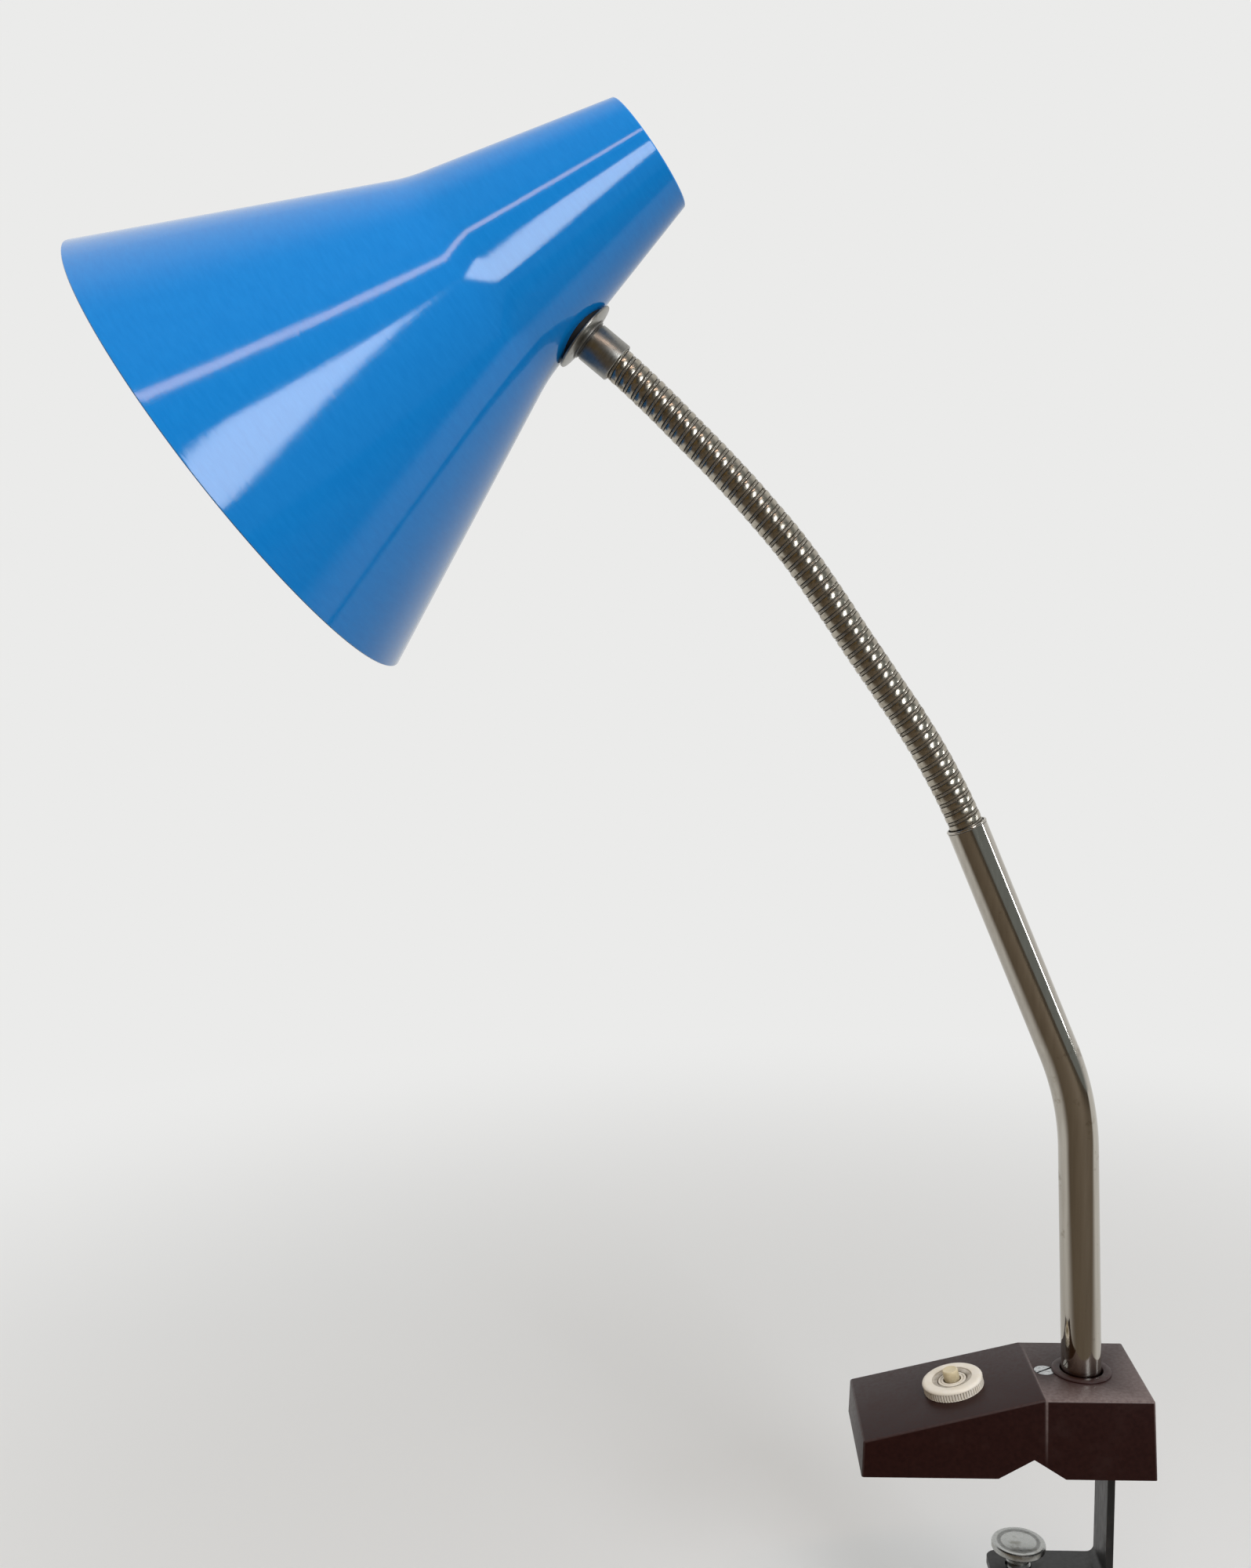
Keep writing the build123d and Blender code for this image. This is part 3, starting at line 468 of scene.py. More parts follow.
class LAMP_OT_shade(bpy.types.Operator):
    """Spins the two-cone shade with its rounded waist and rims, blue outside and white inside"""
    bl_idname = "lamp.shade"
    bl_label = "Shade"

    def execute(self, context):
        s = context.scene.lamp_sizes
        mouth, waist, top = s.mouth_radius / MM, s.waist_radius / MM, s.top_radius / MM
        flare, cone = s.flare_length / MM, s.cone_length / MM
        wall, bend, arc_steps = 1.0, 70.0, 8
        flare_turn, cone_turn = math.atan2(mouth - waist, flare), math.atan2(waist - top, cone)
        half = bend * math.tan((flare_turn - cone_turn) / 2)
        # The waist's arc, from the wide cone's slope to the narrow one's
        centre = (waist + half * math.sin(flare_turn) + bend * math.cos(flare_turn),
                  flare - half * math.cos(flare_turn) + bend * math.sin(flare_turn))
        outer = [(mouth, 0.4), (mouth - 0.2, 0.9)]
        for i in range(arc_steps + 1):
            a = flare_turn + (cone_turn - flare_turn) * i / arc_steps
            outer.append((centre[0] - bend * math.cos(a), centre[1] - bend * math.sin(a)))
        outer += [(top + 0.1, flare + cone - 0.4), (top - 0.3, flare + cone)]
        inner = [(r - wall / math.cos(cone_turn), z) for r, z in reversed(outer[2:-1])]
        profile = [(mouth - 0.35, 0.0)] + outer + inner + [(mouth - 1.5, 1.6), (mouth - 1.3, 0.2), (mouth - 0.9, -0.1),
                                                           (mouth - 0.35, 0.0)]
        shade = turned("shade_skin", profile, steps=192, smooth=25)
        wear(shade, "blue_enamel", "white_enamel")
        slope = (mouth - waist) / flare
        for face in shade.data.polygons:
            c = face.center
            r, z = math.hypot(c.x, c.y) / MM, c.z / MM
            line = mouth - slope * z if z < flare else waist - (waist - top) / cone * (z - flare)
            face.material_index = int(r < line - wall * 0.55 and face.normal.dot(Vector((c.x, c.y, 0))) < 0)
        place(shade, *shade_axis())
        settle(shade, "head", "shade_enamel", "shade")
        return {"FINISHED"}


class LAMP_OT_neck(bpy.types.Operator):
    """Winds the neck's strip, bends it along the joints and parts it into one section for each joint"""
    bl_idname = "lamp.neck"
    bl_label = "Neck"

    def execute(self, context):
        s = context.scene.lamp_sizes
        pitch, crest = s.rib_pitch / MM, s.neck_radius / MM
        # One turn of the strip: a broad crest, a groove, a narrow ridge and a groove, as (depth, run) in mm
        rib = [(-0.72, 0.0), (-0.34, 0.06), (-0.12, 0.2), (-0.03, 0.6), (0.0, 1.35), (-0.03, 2.1), (-0.12, 2.5),
               (-0.34, 2.64), (-0.72, 2.7), (-0.72, 2.82), (-0.36, 2.88), (-0.2, 3.05), (-0.17, 3.3), (-0.26, 3.42),
               (-0.17, 3.55), (-0.2, 3.75), (-0.36, 3.92), (-0.72, 3.98), (-0.72, pitch)]
        into_tube, into_ferrule, tube_slant = 12.0, 5.0, math.radians(67.3)
        down_tube = Vector((math.cos(tube_slant), 0, -math.sin(tube_slant)))
        points = [NECK[0] + down_tube * (into_tube + BALL_RISE) * MM] + NECK
        points.append(NECK[11] + ferrule_axis()[1] * into_ferrule * MM)
        length = sum((b - a).length for a, b in zip(points, points[1:])) / MM
        neck = wound("neck_strip", [(crest + r, z) for r, z in rib], -pitch, int(length / pitch), 40)
        # Dark down in the grooves: grime together with painted shade.
        mark(neck, "grime", lambda r, z: min(1.0, max(0.0, (crest - 0.12 - r) / 0.32)))
        zs = [v.co.z for v in neck.data.vertices]
        pick(neck)
        neck.location.z = -min(zs)
        bpy.ops.object.transform_apply(location=True, rotation=False, scale=False)
        # The line that it bends along: a smooth curve through every joint
        clear()
        bpy.ops.curve.primitive_bezier_curve_add()
        line = bpy.context.object
        spline = line.data.splines[0]
        spline.bezier_points.add(len(points) - 2)
        for handle, point in zip(spline.bezier_points, points):
            handle.co = point - line.location
            handle.handle_left_type = handle.handle_right_type = "AUTO"
        line.data.resolution_u = 24
        # Parted at the middle of each link, then each section bent along the line
        cuts, run = [], 0.0
        for a, b in zip(points, points[1:]):
            cuts.append(run + (b - a).length / 2)
            run += (b - a).length
        cuts = cuts[1:-1]
        for i in range(12):
            name = f"neck_section_{i + 1:02d}"
            if i < 11:
                section = parted(neck, lambda f: f.center.z < cuts[i], name)
            else:
                section = neck
                section.name = section.data.name = name
            wear(section, "neck")
            modify(section, "CURVE", object=line, deform_axis="POS_Z")
            done(section, 40)
            ahead = (points[i + 2] - points[i + 1]).normalized()
            behind = (points[i + 1] - points[i]).normalized()
            node = f"neck_link_{i + 1:02d}" if i < 11 else "neck_end"
            if i == 10:
                # With every joint at a limit, a section bent between two links loses this joint's pivot, so each half
                # rides its own link
                upper = parted(section, lambda f: (f.center - NECK[i]).dot(ahead + behind) > 0, name + "_upper")
                settle(section, LINKS[10], "neck_nickel", node)
                settle(upper, LINKS[11], "neck_nickel", node)
                continue
            if i == 8:
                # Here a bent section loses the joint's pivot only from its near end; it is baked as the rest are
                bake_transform(section)
            else:
                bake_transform(section)
            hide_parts(node)
        clear()
        bpy.data.objects.remove(line)
        return {"FINISHED"}


class LAMP_OT_post(bpy.types.Operator):
    """Draws the bent tube from a circle, with its rolled bead at the top"""
    bl_idname = "lamp.post"
    bl_label = "Post"

    def execute(self, context):
        radius = context.scene.lamp_sizes.tube_radius
        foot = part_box("post_tube")[0].z
        x = JOINT["post_swivel"].x
        # Its course in metres and degrees: upright, a slight lean, straight, the bend, and straight up to the bead
        lean_radius, lean, lower, bend_radius, turned_by, upper, bead = 0.080, 2.0, 0.0934, 0.115, 20.7, 0.0986, 0.0012
        clear()
        bpy.ops.mesh.primitive_circle_add(vertices=96, radius=radius, location=(x, 0, foot))
        tube = bpy.context.object
        tube.name = tube.data.name = "post_tube_skin"
        bpy.ops.object.transform_apply(location=True, rotation=False, scale=False)
        edit(tube)
        point, heading = Vector((x, 0, foot)), math.radians(90)

        def straight(length):
            nonlocal point
            step = Vector((math.cos(heading), 0, math.sin(heading))) * length
            bpy.ops.mesh.extrude_region_move(TRANSFORM_OT_translate={"value": step})
            point = point + step

        def bend(about, degrees, steps):
            nonlocal point, heading
            side = Vector((math.cos(heading + math.pi / 2), 0, math.sin(heading + math.pi / 2)))
            centre = point + side * about
            turn = math.radians(degrees)
            bpy.ops.mesh.spin(steps=steps, angle=turn, center=centre, axis=(0, 1, 0))
            heading += turn
            point = centre - Vector((math.cos(heading + math.pi / 2), 0, math.sin(heading + math.pi / 2))) * about

        straight(BLOCK_HEIGHT * MM - lean_radius * math.sin(math.radians(lean)) - foot)
        bend(lean_radius, lean, 3)
        straight(lower)
        bend(bend_radius, turned_by, 24)
        straight(upper - bead)
        # The bead at the tip: out, round and in again, as (share of the tube's radius, mm along it)
        ahead = Vector((math.cos(heading), 0, math.sin(heading)))
        last_share, last_on = 1.0, 0.0
        for share, on in ((0.985, 0.05), (0.985, 0.2), (1.01, 0.3), (1.025, 0.5), (1.028, 0.75), (1.02, 1.0),
                          (0.995, 1.18), (0.95, 1.25), (0.915, 1.1), (0.895, 0.7), (0.888, 0.1), (0.885, -8.0)):
            bpy.ops.mesh.extrude_region_move(TRANSFORM_OT_translate={"value": ahead * (on - last_on) * MM})
            scale = share / last_share
            bpy.ops.transform.resize(value=(scale, scale, scale), center_override=point + ahead * on * MM)
            last_share, last_on = share, on
        weld(1e-7)
        # Painted shade, with some dirt, inside the tip and in the crease below the bead
        rim = point + ahead * 0.9 * MM
        grime = tube.data.attributes.new("grime", "FLOAT", "POINT")
        for value, v in zip(grime.data, tube.data.vertices):
            off = v.co - rim
            on = off.dot(ahead)
            out = (off - ahead * on).length / radius
            inside, crease = on < 0.3 * MM and out < 0.93, abs(on + 0.75 * MM) < 0.15 * MM and out < 0.99
            value.value = float(off.length < 0.015 and (inside or crease))
        wear(tube, "tube")
        done(tube, 40)
        settle(tube, "post", "polished_tube", "post_tube")
        return {"FINISHED"}


class LAMP_OT_switch(bpy.types.Operator):
    """Turns the switch's ring nut with its flutes, the bush and the button"""
    bl_idname = "lamp.switch"
    bl_label = "Switch"

    def execute(self, context):
        axis = switch_axis()
        steps, flute_every, drawn_in = 256, 4, 0.966
        profile = [(6.1, 0.0), (12.0, 0.0), (12.3, 0.25), (12.35, 0.5), (12.3, 3.1), (12.45, 3.25), (12.45, 3.6),
                   (12.2, 4.1), (11.6, 4.5), (11.0, 4.6), (8.5, 4.6), (8.25, 4.5), (8.15, 4.3), (8.1, 3.95),
                   (7.9, 3.9), (6.5, 3.9), (6.25, 3.75), (6.1, 3.4), (6.1, 0.0)]
        ring = turned("switch_ring", profile, steps=steps, smooth=30)

        def sunk(v):
            r, z = math.hypot(v.co.x, v.co.y) / MM, v.co.z / MM
            row = round(math.atan2(v.co.y, v.co.x) / (2 * math.pi) * steps)
            return 0.4 < z < 3.2 and r > 12.0 and row % flute_every == 0

        # Dark in the bore, the step, the flute recesses and underneath: dirt together with painted shade.
        def dirt_and_shade_at(r, z):
            if r < 6.6:
                return 0.85
            if 7.6 < r < 8.3 and z < 4.4:
                return 0.6
            if 0.4 < z < 3.2 and r < 12.1:
                return 0.9
            return 0.5 if z < 0.1 else 0.0

        edit(ring, sunk)
        bpy.ops.transform.resize(value=(drawn_in, drawn_in, 1.0), center_override=(0, 0, 0))
        bpy.ops.object.mode_set(mode="OBJECT")
        mark(ring, "grime", dirt_and_shade_at)
        wear(ring, "cream")
        done(ring, 30)
        place(ring, *axis)
        settle(ring, "base", "cream_plastic", "switch_ring_nut")
        # The bush is dark where the ring covers it, in its bore and in its groove: painted shade with some dirt.
        fitted("switch_collar", [(5.85, -1.0), (5.85, 3.3), (5.7, 3.65), (5.4, 3.8), (5.0, 3.8), (4.85, 3.6),
                                 (4.6, 3.6), (4.4, 3.75), (3.8, 3.75), (3.6, 3.6), (3.5, 3.3), (3.5, -1.0),
                                 (5.85, -1.0)],
               128, lambda r, z: 0.9 if r > 5.8 or r < 3.65 else 0.55 if 4.5 < r < 4.95 else 0.1,
               "cream", axis, "base", "cream_plastic", "switch_bush")
        # The button's stem below its head is dark: painted shade inside the bush, and a little dirt on the head.
        fitted("switch_button", [(0.0, 7.75), (1.2, 7.8), (2.2, 7.9), (2.7, 8.0), (2.95, 7.9), (3.15, 7.6), (3.2, 7.2),
                                 (3.2, 3.6), (3.2, -5.3), (4.6, -5.3), (4.6, -6.5), (0.0, -6.5)],
               96, lambda r, z: 0.8 if z < 3.7 else 0.12,
               "ivory", axis, "button", "ivory_plastic", "push_button")
        return {"FINISHED"}


class LAMP_OT_ferrule(bpy.types.Operator):
    """Turns the ferrule and the dished washer against the shade"""
    bl_idname = "lamp.ferrule"
    bl_label = "Ferrule"

    def execute(self, context):
        axis = ferrule_axis()
        # The socket's bore and the groove by the washer are painted dark as a shadow gap, and the end face somewhat.
        fitted("ferrule_sleeve", [(6.95, 7.0), (6.95, 0.5), (7.1, 0.15), (7.4, 0.0), (7.7, 0.05), (7.95, 0.3),
                                  (8.0, 0.6), (8.0, 12.7), (7.9, 12.95), (7.5, 13.05), (7.45, 13.4), (7.5, 13.75),
                                  (7.9, 13.85), (8.35, 14.0), (8.4, 14.3), (8.35, 14.7), (5.2, 14.7), (5.2, 7.0),
                                  (6.95, 7.0)],
               128, lambda r, z: 1.0 if r < 7.05 and z > 0.2 or r < 7.6 and z > 13.0 else 0.35 if z > 13.8 else 0.0,
               "satin", axis, "head", "satin_steel", "ferrule")
        # The washer's middle, under the ferrule, is painted dark: painted shade.
        fitted("shade_dished_washer", [(5.2, 14.7), (8.6, 14.7), (9.4, 14.78), (14.1, 15.72), (14.35, 15.9),
                                       (14.4, 16.2), (14.4, 16.55), (14.25, 16.75), (14.0, 16.75), (9.0, 15.7),
                                       (5.2, 15.7), (5.2, 14.7)],
               160, lambda r, z: 0.9 if r < 8.7 else 0.0,
               "satin", axis, "head", "satin_steel", "shade_washer")
        return {"FINISHED"}


class LAMP_OT_housing(bpy.types.Operator):
    """Shapes the hollow wedge housing from a block, rounds its outer edges and sets the boss on it"""
    bl_idname = "lamp.housing"
    bl_label = "Housing"

    def execute(self, context):
        height, nose, lean = BLOCK_HEIGHT, 14.5, math.tan(math.radians(2.3))
        nose_x, rear_x, ridge, side = -67.2, 46.9, 3.2, 25.75
        wall, edge_round, depth = 3.0, 0.9, 0.08
        low_x, high_x, half = nose_x - lean * nose, rear_x + lean * height, side + lean * height
        clear()
        bpy.ops.mesh.primitive_cube_add(size=1, location=(0, 0, 0))
        shell = context.object
        shell.name = shell.data.name = "housing_shell"
        edit(shell)
        bpy.ops.transform.resize(value=((high_x - low_x) * MM, 2 * half * MM, height * MM), center_override=(0, 0, 0))
        bpy.ops.transform.translate(value=((low_x + high_x) / 2 * MM, 0, height / 2 * MM))
        edit(shell, lambda v: v.co.z > height / 2 * MM)
        wide, deep = high_x - low_x, 2 * half
        bpy.ops.transform.resize(value=((wide - 2 * lean * height) / wide, (deep - 2 * lean * height) / deep, 1),
                                 center_override=((low_x + high_x) / 2 * MM, 0, 0))
        # The sloping roof, cut from the ridge down to the nose, then the open underside and the wall
        bpy.ops.mesh.select_all(action="SELECT")
        bpy.ops.mesh.bisect(plane_co=(ridge * MM, 0, height * MM),
                            plane_no=(-math.sin(ROOF_SLOPE), 0, math.cos(ROOF_SLOPE)), use_fill=True, clear_outer=True)
        edit(shell, lambda f: f.normal.z < -0.9, "FACE")
        bpy.ops.mesh.delete(type="FACE")
        bpy.ops.object.mode_set(mode="OBJECT")
        modify(shell, "SOLIDIFY", thickness=wall * MM, offset=-1.0, use_even_offset=True)
        edit(shell, lambda v: v.co.z < 1.0 * MM)
        bpy.ops.transform.resize(value=(1, 1, 0), center_override=(0, 0, 0))

        def outside(v):
            top = height if v.x / MM > ridge else height - (ridge - v.x / MM) * math.tan(ROOF_SLOPE)
            return half - lean * v.z / MM - abs(v.y) / MM < 0.3 and (top - v.z / MM < 0.3 or v.z / MM < 0.1)

        def rounded(e):
            a, b = (shell.data.vertices[i].co for i in e.vertices)
            if not outside(a) or not outside(b) or max(a.z, b.z) < 0.1 * MM:
                return False
            return max(abs(a.x / MM - ridge), abs(b.x / MM - ridge)) > 0.5

        # A cut just behind the ridge, so that the painted highlight along the block's front top edge stops there
        edit(shell)
        bpy.ops.mesh.bisect(plane_co=((ridge + 1.2) * MM, 0, 0), plane_no=(1, 0, 0))
        edit(shell, rounded, "EDGE")
        bpy.ops.mesh.bevel(offset=edge_round * MM, segments=4)
        bpy.ops.object.mode_set(mode="OBJECT")
        bevel_points = {i for f in shell.data.polygons if f.select for i in f.vertices}
        for f in shell.data.polygons:
            if not f.select:
                bevel_points -= set(f.vertices)
        bpy.ops.object.mode_set(mode="EDIT")
        bpy.ops.mesh.select_all(action="DESELECT")
        bpy.ops.object.mode_set(mode="OBJECT")
        # The block's front top edge is painted much paler as a highlight; the other rounded edges get a faint real rub.
        layer = shell.data.attributes.new("edge", "FLOAT", "POINT")
        for i in bevel_points:
            x, y, z = shell.data.vertices[i].co / MM
            layer.data[i].value = 0.7 if y < 0 and x > ridge + 1 and z > height - 1 else 0.13
        # Openings: the notch over the table's edge, and the holes for the tube, screw, switch and cord grommet
        notch = drawn("notch_cutter", [(-14.0, -0.5), (-14.0, 0.0), (0.0, 7.8), (12.5, 0.0), (12.5, -0.5),
                                       (-14.0, -0.5)])
        bpy.ops.mesh.select_all(action="SELECT")
        bpy.ops.mesh.remove_doubles(threshold=1e-6)
        bpy.ops.mesh.edge_face_add()
        bpy.ops.transform.translate(value=(0, -depth / 2, 0))
        bpy.ops.mesh.extrude_region_move(TRANSFORM_OT_translate={"value": (0, depth, 0)})
        bpy.ops.mesh.select_all(action="SELECT")
        bpy.ops.mesh.normals_make_consistent(inside=False)
        bpy.ops.object.mode_set(mode="OBJECT")
        tube_hole, screw_hole, switch_hole, grommet_hole, screw_x = 8.4, 4.15, 6.1, 4.7, 8.9
        holes, up = [notch], Vector((0, 0, 1))
        for radius, centre, way in ((tube_hole, Vector((POST_X, 0, height)) * MM, up),
                                    (screw_hole, Vector((screw_x, 0, height)) * MM, up), (switch_hole, *switch_axis())):
            clear()
            bpy.ops.mesh.primitive_cylinder_add(vertices=64, radius=radius * MM, depth=16 * MM)
            cutter = context.object
            place(cutter, centre, way)
            holes.append(cutter)
        clear()
        bpy.ops.mesh.primitive_cylinder_add(vertices=48, radius=grommet_hole * MM, depth=16 * MM,
                                            location=middle("cord_grommet"), rotation=(0, math.pi / 2, 0))
        holes.append(context.object)
        for cutter in holes:
            modify(shell, "BOOLEAN", operation="DIFFERENCE", object=cutter, solver="EXACT")
            bpy.data.objects.remove(cutter)
        boss = turned("housing_boss", [(8.4, 31.0), (12.0, 31.0), (12.0, 32.25), (11.93, 32.55), (11.7, 32.83),
                                       (11.3, 33.0), (9.1, 33.0), (8.75, 32.9), (8.5, 32.6), (8.4, 32.2), (8.4, 31.0)],
                      steps=128, smooth=40)
        mark(boss, "edge", lambda r, z: 0.12 if z > 32.5 and r > 11.0 else 0.0)
        place(boss, Vector((POST_X, 0, 0)) * MM, up)
        for piece in (shell, boss):
            wear(piece, "bakelite")
            settle(done(piece, 30), "base", "dark_bakelite", "base_housing")
        return {"FINISHED"}


class LAMP_OT_clamp(bpy.types.Operator):
    """Winds the clamp screw's thread and shapes its knob and pad"""
    bl_idname = "lamp.clamp"
    bl_label = "Clamp"

    def execute(self, context):
        low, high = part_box("clamp_screw")
        knob_low, knob_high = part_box("clamp_knob")
        pad_low, pad_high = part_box("clamp_pad")
        s0, s1, pitch = low.z / MM, high.z / MM, 3.0
        # One pitch of a rolled trapezoidal thread, from its root over its crest
        tooth = [(4.05, 0.0), (4.05, 0.75), (4.15, 0.85), (4.85, 1.25), (5.0, 1.4), (5.0, 2.1), (4.85, 2.25),
                 (4.15, 2.65), (4.05, 2.75), (4.05, pitch)]
        turns = int((high.z - low.z) / MM / pitch) - 1
        thread = wound("clamp_screw_thread", [(r, s0 + z) for r, z in tooth], pitch, turns, 48)
        # Dark in the thread's root: painted shade with some dirt.
        mark(thread, "grime", lambda r, z: 0.6 if r < 4.2 else 0.0)
        core = turned("clamp_screw_core", between(s0, [(0.0, 0.0), (3.9, 0.0), (4.0, 0.4)],
                                                  s1, [(4.0, -4.5), (3.7, -4.0), (3.7, 0.0), (0.0, 0.0)]), steps=64)
        for piece in (thread, core):
            wear(piece, "zinc")
            settle(done(piece, 40), "screw", "zinc_steel", "clamp_screw")
        k0, k1 = knob_low.z / MM, knob_high.z / MM
        steps, flutes, rim, flute, flute_centre = 192, 8, 13.0, 3.2, 14.6
        knob = turned("clamp_knob_fluted", between(
            k0, [(0.0, 1.0), (4.5, 1.0), (5.2, 0.8), (6.2, 0.1), (11.4, 0.0), (12.2, 0.25), (12.8, 0.8), (rim, 1.6)],
            k1, [(rim, -1.6), (12.8, -0.8), (12.2, -0.25), (11.4, 0.0), (7.8, 0.0), (7.3, -0.2), (6.9, -0.5),
                 (5.1, -0.5), (5.0, -0.8), (5.0, -4.0), (0.0, -4.0)]), steps=steps, smooth=40)
        # Each row of points near a flute is drawn in to a circle set outside the rim
        apart = steps // flutes

        def in_row(v, step):
            row = round(math.atan2(v.co.y, v.co.x) / (2 * math.pi) * steps)
            return math.hypot(v.co.x, v.co.y) > 11.0 * MM and (row - apart // 2 - step) % apart == 0

        for step in range(-5, 6):
            angle = math.radians(step * 360 / steps)
            off = flute_centre * math.sin(angle)
            reach = flute_centre * math.cos(angle) - math.sqrt(max(0.0, flute ** 2 - off ** 2))
            if abs(off) >= flute or reach > rim - 0.05:
                continue
            edit(knob, lambda v: in_row(v, step))
            bpy.ops.transform.resize(value=(reach / rim, reach / rim, 1.0), center_override=(0, 0, 0))
            bpy.ops.object.mode_set(mode="OBJECT")
        mark(knob, "edge", lambda r, z: 0.5 if r > 12.1 and (z < k0 + 1 or z > k1 - 1) else 0.0)
        wear(knob, "phenolic")
        settle(done(knob, 40), "screw", "black_phenolic", "clamp_knob")
        p0, p1 = pad_low.z / MM, pad_high.z / MM
        pad = turned("clamp_pad_cup", between(
            p0, [(3.8, 2.2), (3.8, 0.0), (4.4, 0.0), (5.6, 0.05), (6.0, 0.35), (6.2, 0.6), (9.8, 0.9), (10.7, 1.2),
                 (11.0, 1.6)],
            p1, [(11.0, -0.9), (10.85, -0.4), (10.3, 0.0), (9.0, 0.0), (8.6, -0.2), (7.4, -0.2), (7.0, 0.0),
                 (0.0, 0.0)]) + [(0.0, p0 + 2.2), (3.8, p0 + 2.2)], steps=128)
        # Dark in the groove round the pad's top: painted shade with some dirt.
        mark(pad, "grime", lambda r, z: 0.5 if z > p1 - 0.3 and 7.2 < r < 8.8 else 0.0)
        wear(pad, "zinc")
        settle(pad, "pad", "zinc_steel", "clamp_pad")
        return {"FINISHED"}


class LAMP_OT_carried_nodes(bpy.types.Operator):
    """Gives every CAD node that still shows its finish"""
    bl_idname = "lamp.carried_nodes"
    bl_label = "Carried-over nodes"

    def execute(self, context):
        by_slot = {
            "shade_enamel": "blue_enamel", "dark_bakelite": "bakelite", "cream_plastic": "cream",
            "ivory_plastic": "ivory", "polished_tube": "tube", "neck_nickel": "neck", "satin_steel": "satin",
            "zinc_steel": "zinc", "black_paint": "black_paint", "black_phenolic": "phenolic",
            "black_rubber": "rubber", "porcelain": "porcelain", "brass": "brass", "opal_glass": "opal",
        }
        slots = {part["node"]: part["material_slot"] for part in frame["record"]["subparts"]}
        for name, node in frame["nodes"].items():
            if not node.hide_render:
                wear(node, "alloy" if name == "housing_screw" else by_slot[slots[name]])
        return {"FINISHED"}


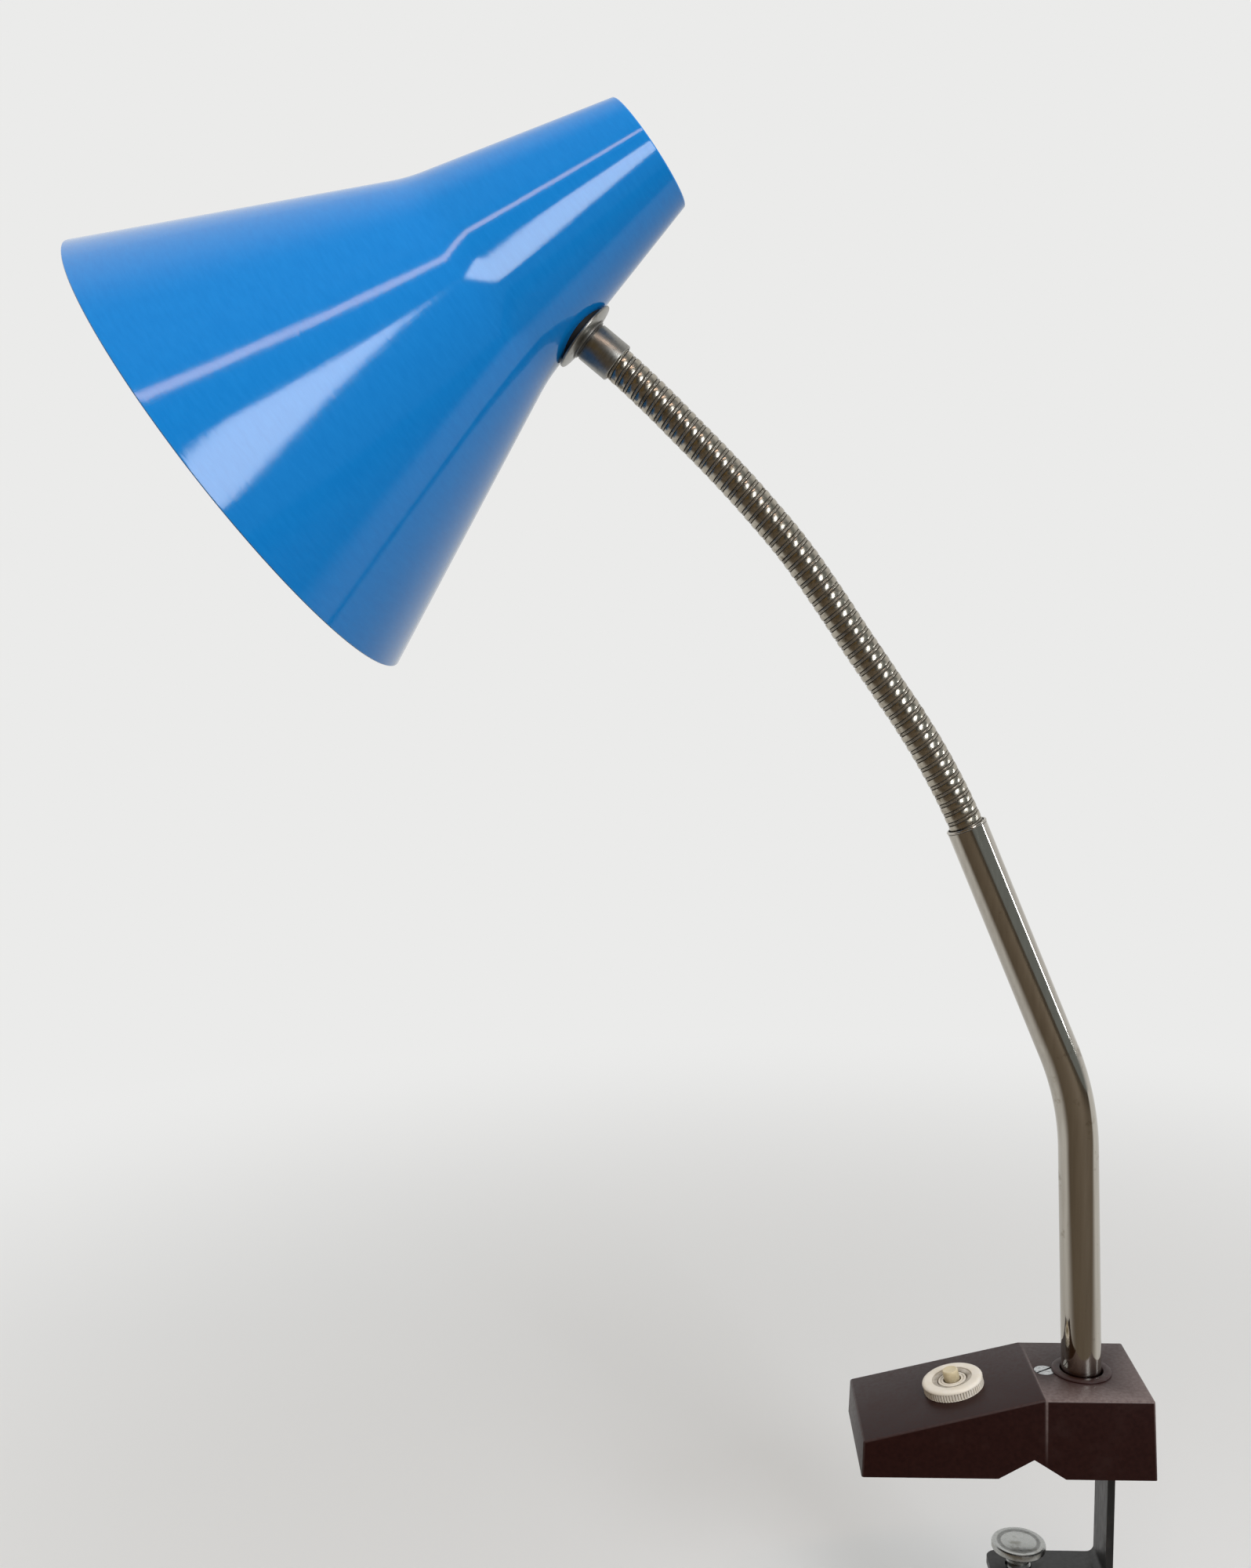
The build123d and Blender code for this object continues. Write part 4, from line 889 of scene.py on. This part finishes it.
class LAMP_OT_stage(bpy.types.Operator):
    """Sets the pale sweep, the soft lights and the camera at the photograph's angle"""
    bl_idname = "lamp.stage"
    bl_label = "Stage"

    def light(self, context, name, azimuth, elevation, width, height, power, hex_code="#FFFFFF"):
        """One soft panel, two metres from the shade. Azimuth runs from the front to the right, in degrees."""
        shade, distance = Vector((-0.24, 0, 0.45)), 2.0
        a, e = math.radians(azimuth), math.radians(elevation)
        way = Vector((math.sin(a) * math.cos(e), -math.cos(a) * math.cos(e), math.sin(e)))
        panel = bpy.data.lights.new(name, "AREA")
        panel.shape, panel.size, panel.size_y, panel.energy = "RECTANGLE", width, height, power
        panel.color = colour(hex_code)[:3]
        lamp = bpy.data.objects.new(name, panel)
        context.scene.collection.objects.link(lamp)
        lamp.location = shade + way * distance
        lamp.rotation_euler = way.to_track_quat("Z", "Y").to_euler()
        return lamp

    def surroundings(self, context):
        """The room: the pale wall behind, brown wood in front and to the left, cool grey to the right."""
        world = bpy.data.worlds.new("studio")
        context.scene.world = world
        world.use_nodes = True
        world.node_tree.nodes.clear()
        way = add(world, "TexCoord").outputs["Generated"]
        parts = add(world, "SeparateXYZ", {"Vector": way}).outputs
        seen = colour("#3E3F3C")
        for part, start, stop, near, beyond in (
                ("X", -0.12, -0.3, None, "#76613C"),  # to the left
                ("X", 0.0, 0.55, None, "#808584"),  # to the right
                ("Z", 0.9, 0.5, "#9A9C9E", None),  # below the ceiling
                ("Y", 0.3, -0.2, "#E4E4E4", None)):  # in front of the wall
            share = add(world, "MapRange", {"Value": parts[part], "From Min": start, "From Max": stop},
                        interpolation_type="SMOOTHSTEP").outputs["Result"]
            ends = {"A": colour(near) if near else seen, "B": colour(beyond) if beyond else seen}
            seen = add(world, "Mix", {"Factor": share, **ends}, data_type="RGBA").outputs[2]
        eye = add(world, "LightPath").outputs["Is Camera Ray"]
        seen = add(world, "Mix", {"Factor": eye, "A": seen, "B": colour(PALE)}, data_type="RGBA").outputs[2]
        room = add(world, "Background", {"Color": seen, "Strength": 1.0}).outputs["Background"]
        add(world, "OutputWorld", {"Surface": room})

    def sweep(self, context, lowest):
        """A floor that runs up into a wall in one curve, real near the lamp and plain pale far from it."""
        clear()
        bpy.ops.mesh.primitive_plane_add(size=6, location=(0, -0.9, lowest))
        sweep = context.object
        sweep.name = sweep.data.name = "sweep"
        bpy.ops.object.transform_apply(location=True, rotation=False, scale=False)
        edit(sweep, lambda e: min(sweep.data.vertices[v].co.y for v in e.vertices) > 2.0, "EDGE")
        bpy.ops.mesh.spin(steps=16, angle=-math.pi / 2, center=(0, 2.1, lowest + 0.6), axis=(1, 0, 0))
        bpy.ops.mesh.extrude_region_move(TRANSFORM_OT_translate={"value": (0, 0, 3.4)})
        done(sweep)
        sweep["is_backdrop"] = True
        # Matt paper: real shade and shadow near the lamp, even and pale behind it, and warm in what it throws back
        material = bpy.data.materials.new("pale_paper_sweep")
        material.use_nodes = True
        material.node_tree.nodes.clear()
        where = add(material, "TexCoord").outputs["Object"]
        far = add(material, "VectorMath", {0: where}, operation="LENGTH").outputs["Value"]
        away = add(material, "MapRange", {"Value": far, "From Min": 0.2, "From Max": 1.1},
                   interpolation_type="SMOOTHSTEP").outputs["Result"]
        path = add(material, "LightPath").outputs
        depth = add(material, "SeparateXYZ", {"Vector": where}).outputs["Y"]
        behind = add(material, "MapRange", {"Value": depth, "From Min": -0.3, "From Max": 0.05},
                     interpolation_type="SMOOTHSTEP").outputs["Result"]
        mirrored = add(material, "Math", {0: path["Is Glossy Ray"], 1: path["Is Transmission Ray"]},
                       operation="MAXIMUM").outputs[0]
        mirrored = add(material, "Math", {0: mirrored, 1: behind}, operation="MULTIPLY").outputs[0]
        seen = add(material, "Math", {0: path["Is Camera Ray"], 1: mirrored}, operation="MAXIMUM").outputs[0]
        share = add(material, "Math", {0: seen, 1: away}, operation="MULTIPLY").outputs[0]
        tone = add(material, "Mix", {"Factor": seen, "A": colour("#6E6252"), "B": colour("#F0F0EE")},
                   data_type="RGBA").outputs[2]
        paper = add(material, "BsdfPrincipled", {"Base Color": tone, "Roughness": 0.9}).outputs["BSDF"]
        pale = add(material, "Emission", {"Color": colour(PALE), "Strength": 1.0}).outputs["Emission"]
        both = add(material, "MixShader", {0: share, 1: paper, 2: pale}).outputs["Shader"]
        add(material, "OutputMaterial", {"Surface": both})
        sweep.data.materials.append(material)

    def execute(self, context):
        self.sweep(context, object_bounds()[0][2])
        self.light(context, "window", 33.5, 12.5, 0.50, 0.86, 14.0, "#F4F8FF")
        self.light(context, "side_window", 88, 3, 0.09, 0.5, 4.0, "#F4F8FF")
        self.light(context, "ceiling_strip", 20, 44, 0.92, 0.13, 3.4, "#FFDCC8")
        for name, azimuth, elevation, size, power in (("soft_key", 12, 40, 1.6, 12.0), ("overhead", 0, 78, 1.4, 9.0)):
            self.light(context, name, azimuth, elevation, size, size, power).visible_glossy = False
        self.surroundings(context)
        # The camera, solved from the photograph
        x, y, z = -0.1365, -0.64774, 0.3465
        yaw, pitch, roll = math.radians(2.12), math.radians(-6.19), math.radians(-0.38)
        frame_height, focal, shift = 2000, 2100, -9.5  # in the photograph's pixels
        right = Vector((math.cos(yaw), math.sin(yaw), 0))
        ahead = Vector((-math.sin(yaw) * math.cos(pitch), math.cos(yaw) * math.cos(pitch), math.sin(pitch)))
        up = right.cross(ahead)
        right, up = right * math.cos(roll) + up * math.sin(roll), up * math.cos(roll) - right * math.sin(roll)
        camera = bpy.data.cameras.new("photo_camera")
        camera.sensor_width, camera.sensor_fit = 36, "AUTO"
        camera.lens = focal / frame_height * camera.sensor_width
        camera.shift_y = shift / frame_height
        camera.clip_start = 0.01
        holder = bpy.data.objects.new("photo_camera", camera)
        context.scene.collection.objects.link(holder)
        holder.matrix_world = Matrix(((right.x, up.x, -ahead.x, x), (right.y, up.y, -ahead.y, y),
                                      (right.z, up.z, -ahead.z, z), (0, 0, 0, 1)))
        context.scene.camera = holder
        context.scene.view_settings.view_transform = "Standard"
        return {"FINISHED"}


STEPS = (LAMP_OT_shade, LAMP_OT_neck, LAMP_OT_post, LAMP_OT_switch, LAMP_OT_ferrule, LAMP_OT_housing, LAMP_OT_clamp,
         LAMP_OT_carried_nodes, LAMP_OT_stage)


class LAMP_PT_panel(bpy.types.Panel):
    """Lists the lamp's pieces"""
    bl_idname = "LAMP_PT_panel"
    bl_label = "Workshop lamp"
    bl_space_type = "VIEW_3D"
    bl_region_type = "UI"
    bl_category = "Lamp"

    def draw(self, context):
        for group, held in ((LampSizes, context.scene.lamp_sizes), (LampColours, context.scene.lamp_colours)):
            for name in group.__annotations__:
                self.layout.prop(held, name)
        for step in STEPS:
            self.layout.operator(step.bl_idname)


CLASSES = (LampSizes, LampColours, *STEPS, LAMP_PT_panel)


def register():
    for cls in CLASSES:
        bpy.utils.register_class(cls)
    bpy.types.Scene.lamp_sizes = bpy.props.PointerProperty(type=LampSizes)
    bpy.types.Scene.lamp_colours = bpy.props.PointerProperty(type=LampColours)


def unregister():
    del bpy.types.Scene.lamp_colours
    del bpy.types.Scene.lamp_sizes
    for cls in reversed(CLASSES):
        bpy.utils.unregister_class(cls)


def main():
    register()
    make_finishes()
    for step in STEPS:
        group, name = step.bl_idname.split(".")
        getattr(getattr(bpy.ops, group), name)()


if __name__ == "__main__":
    main()
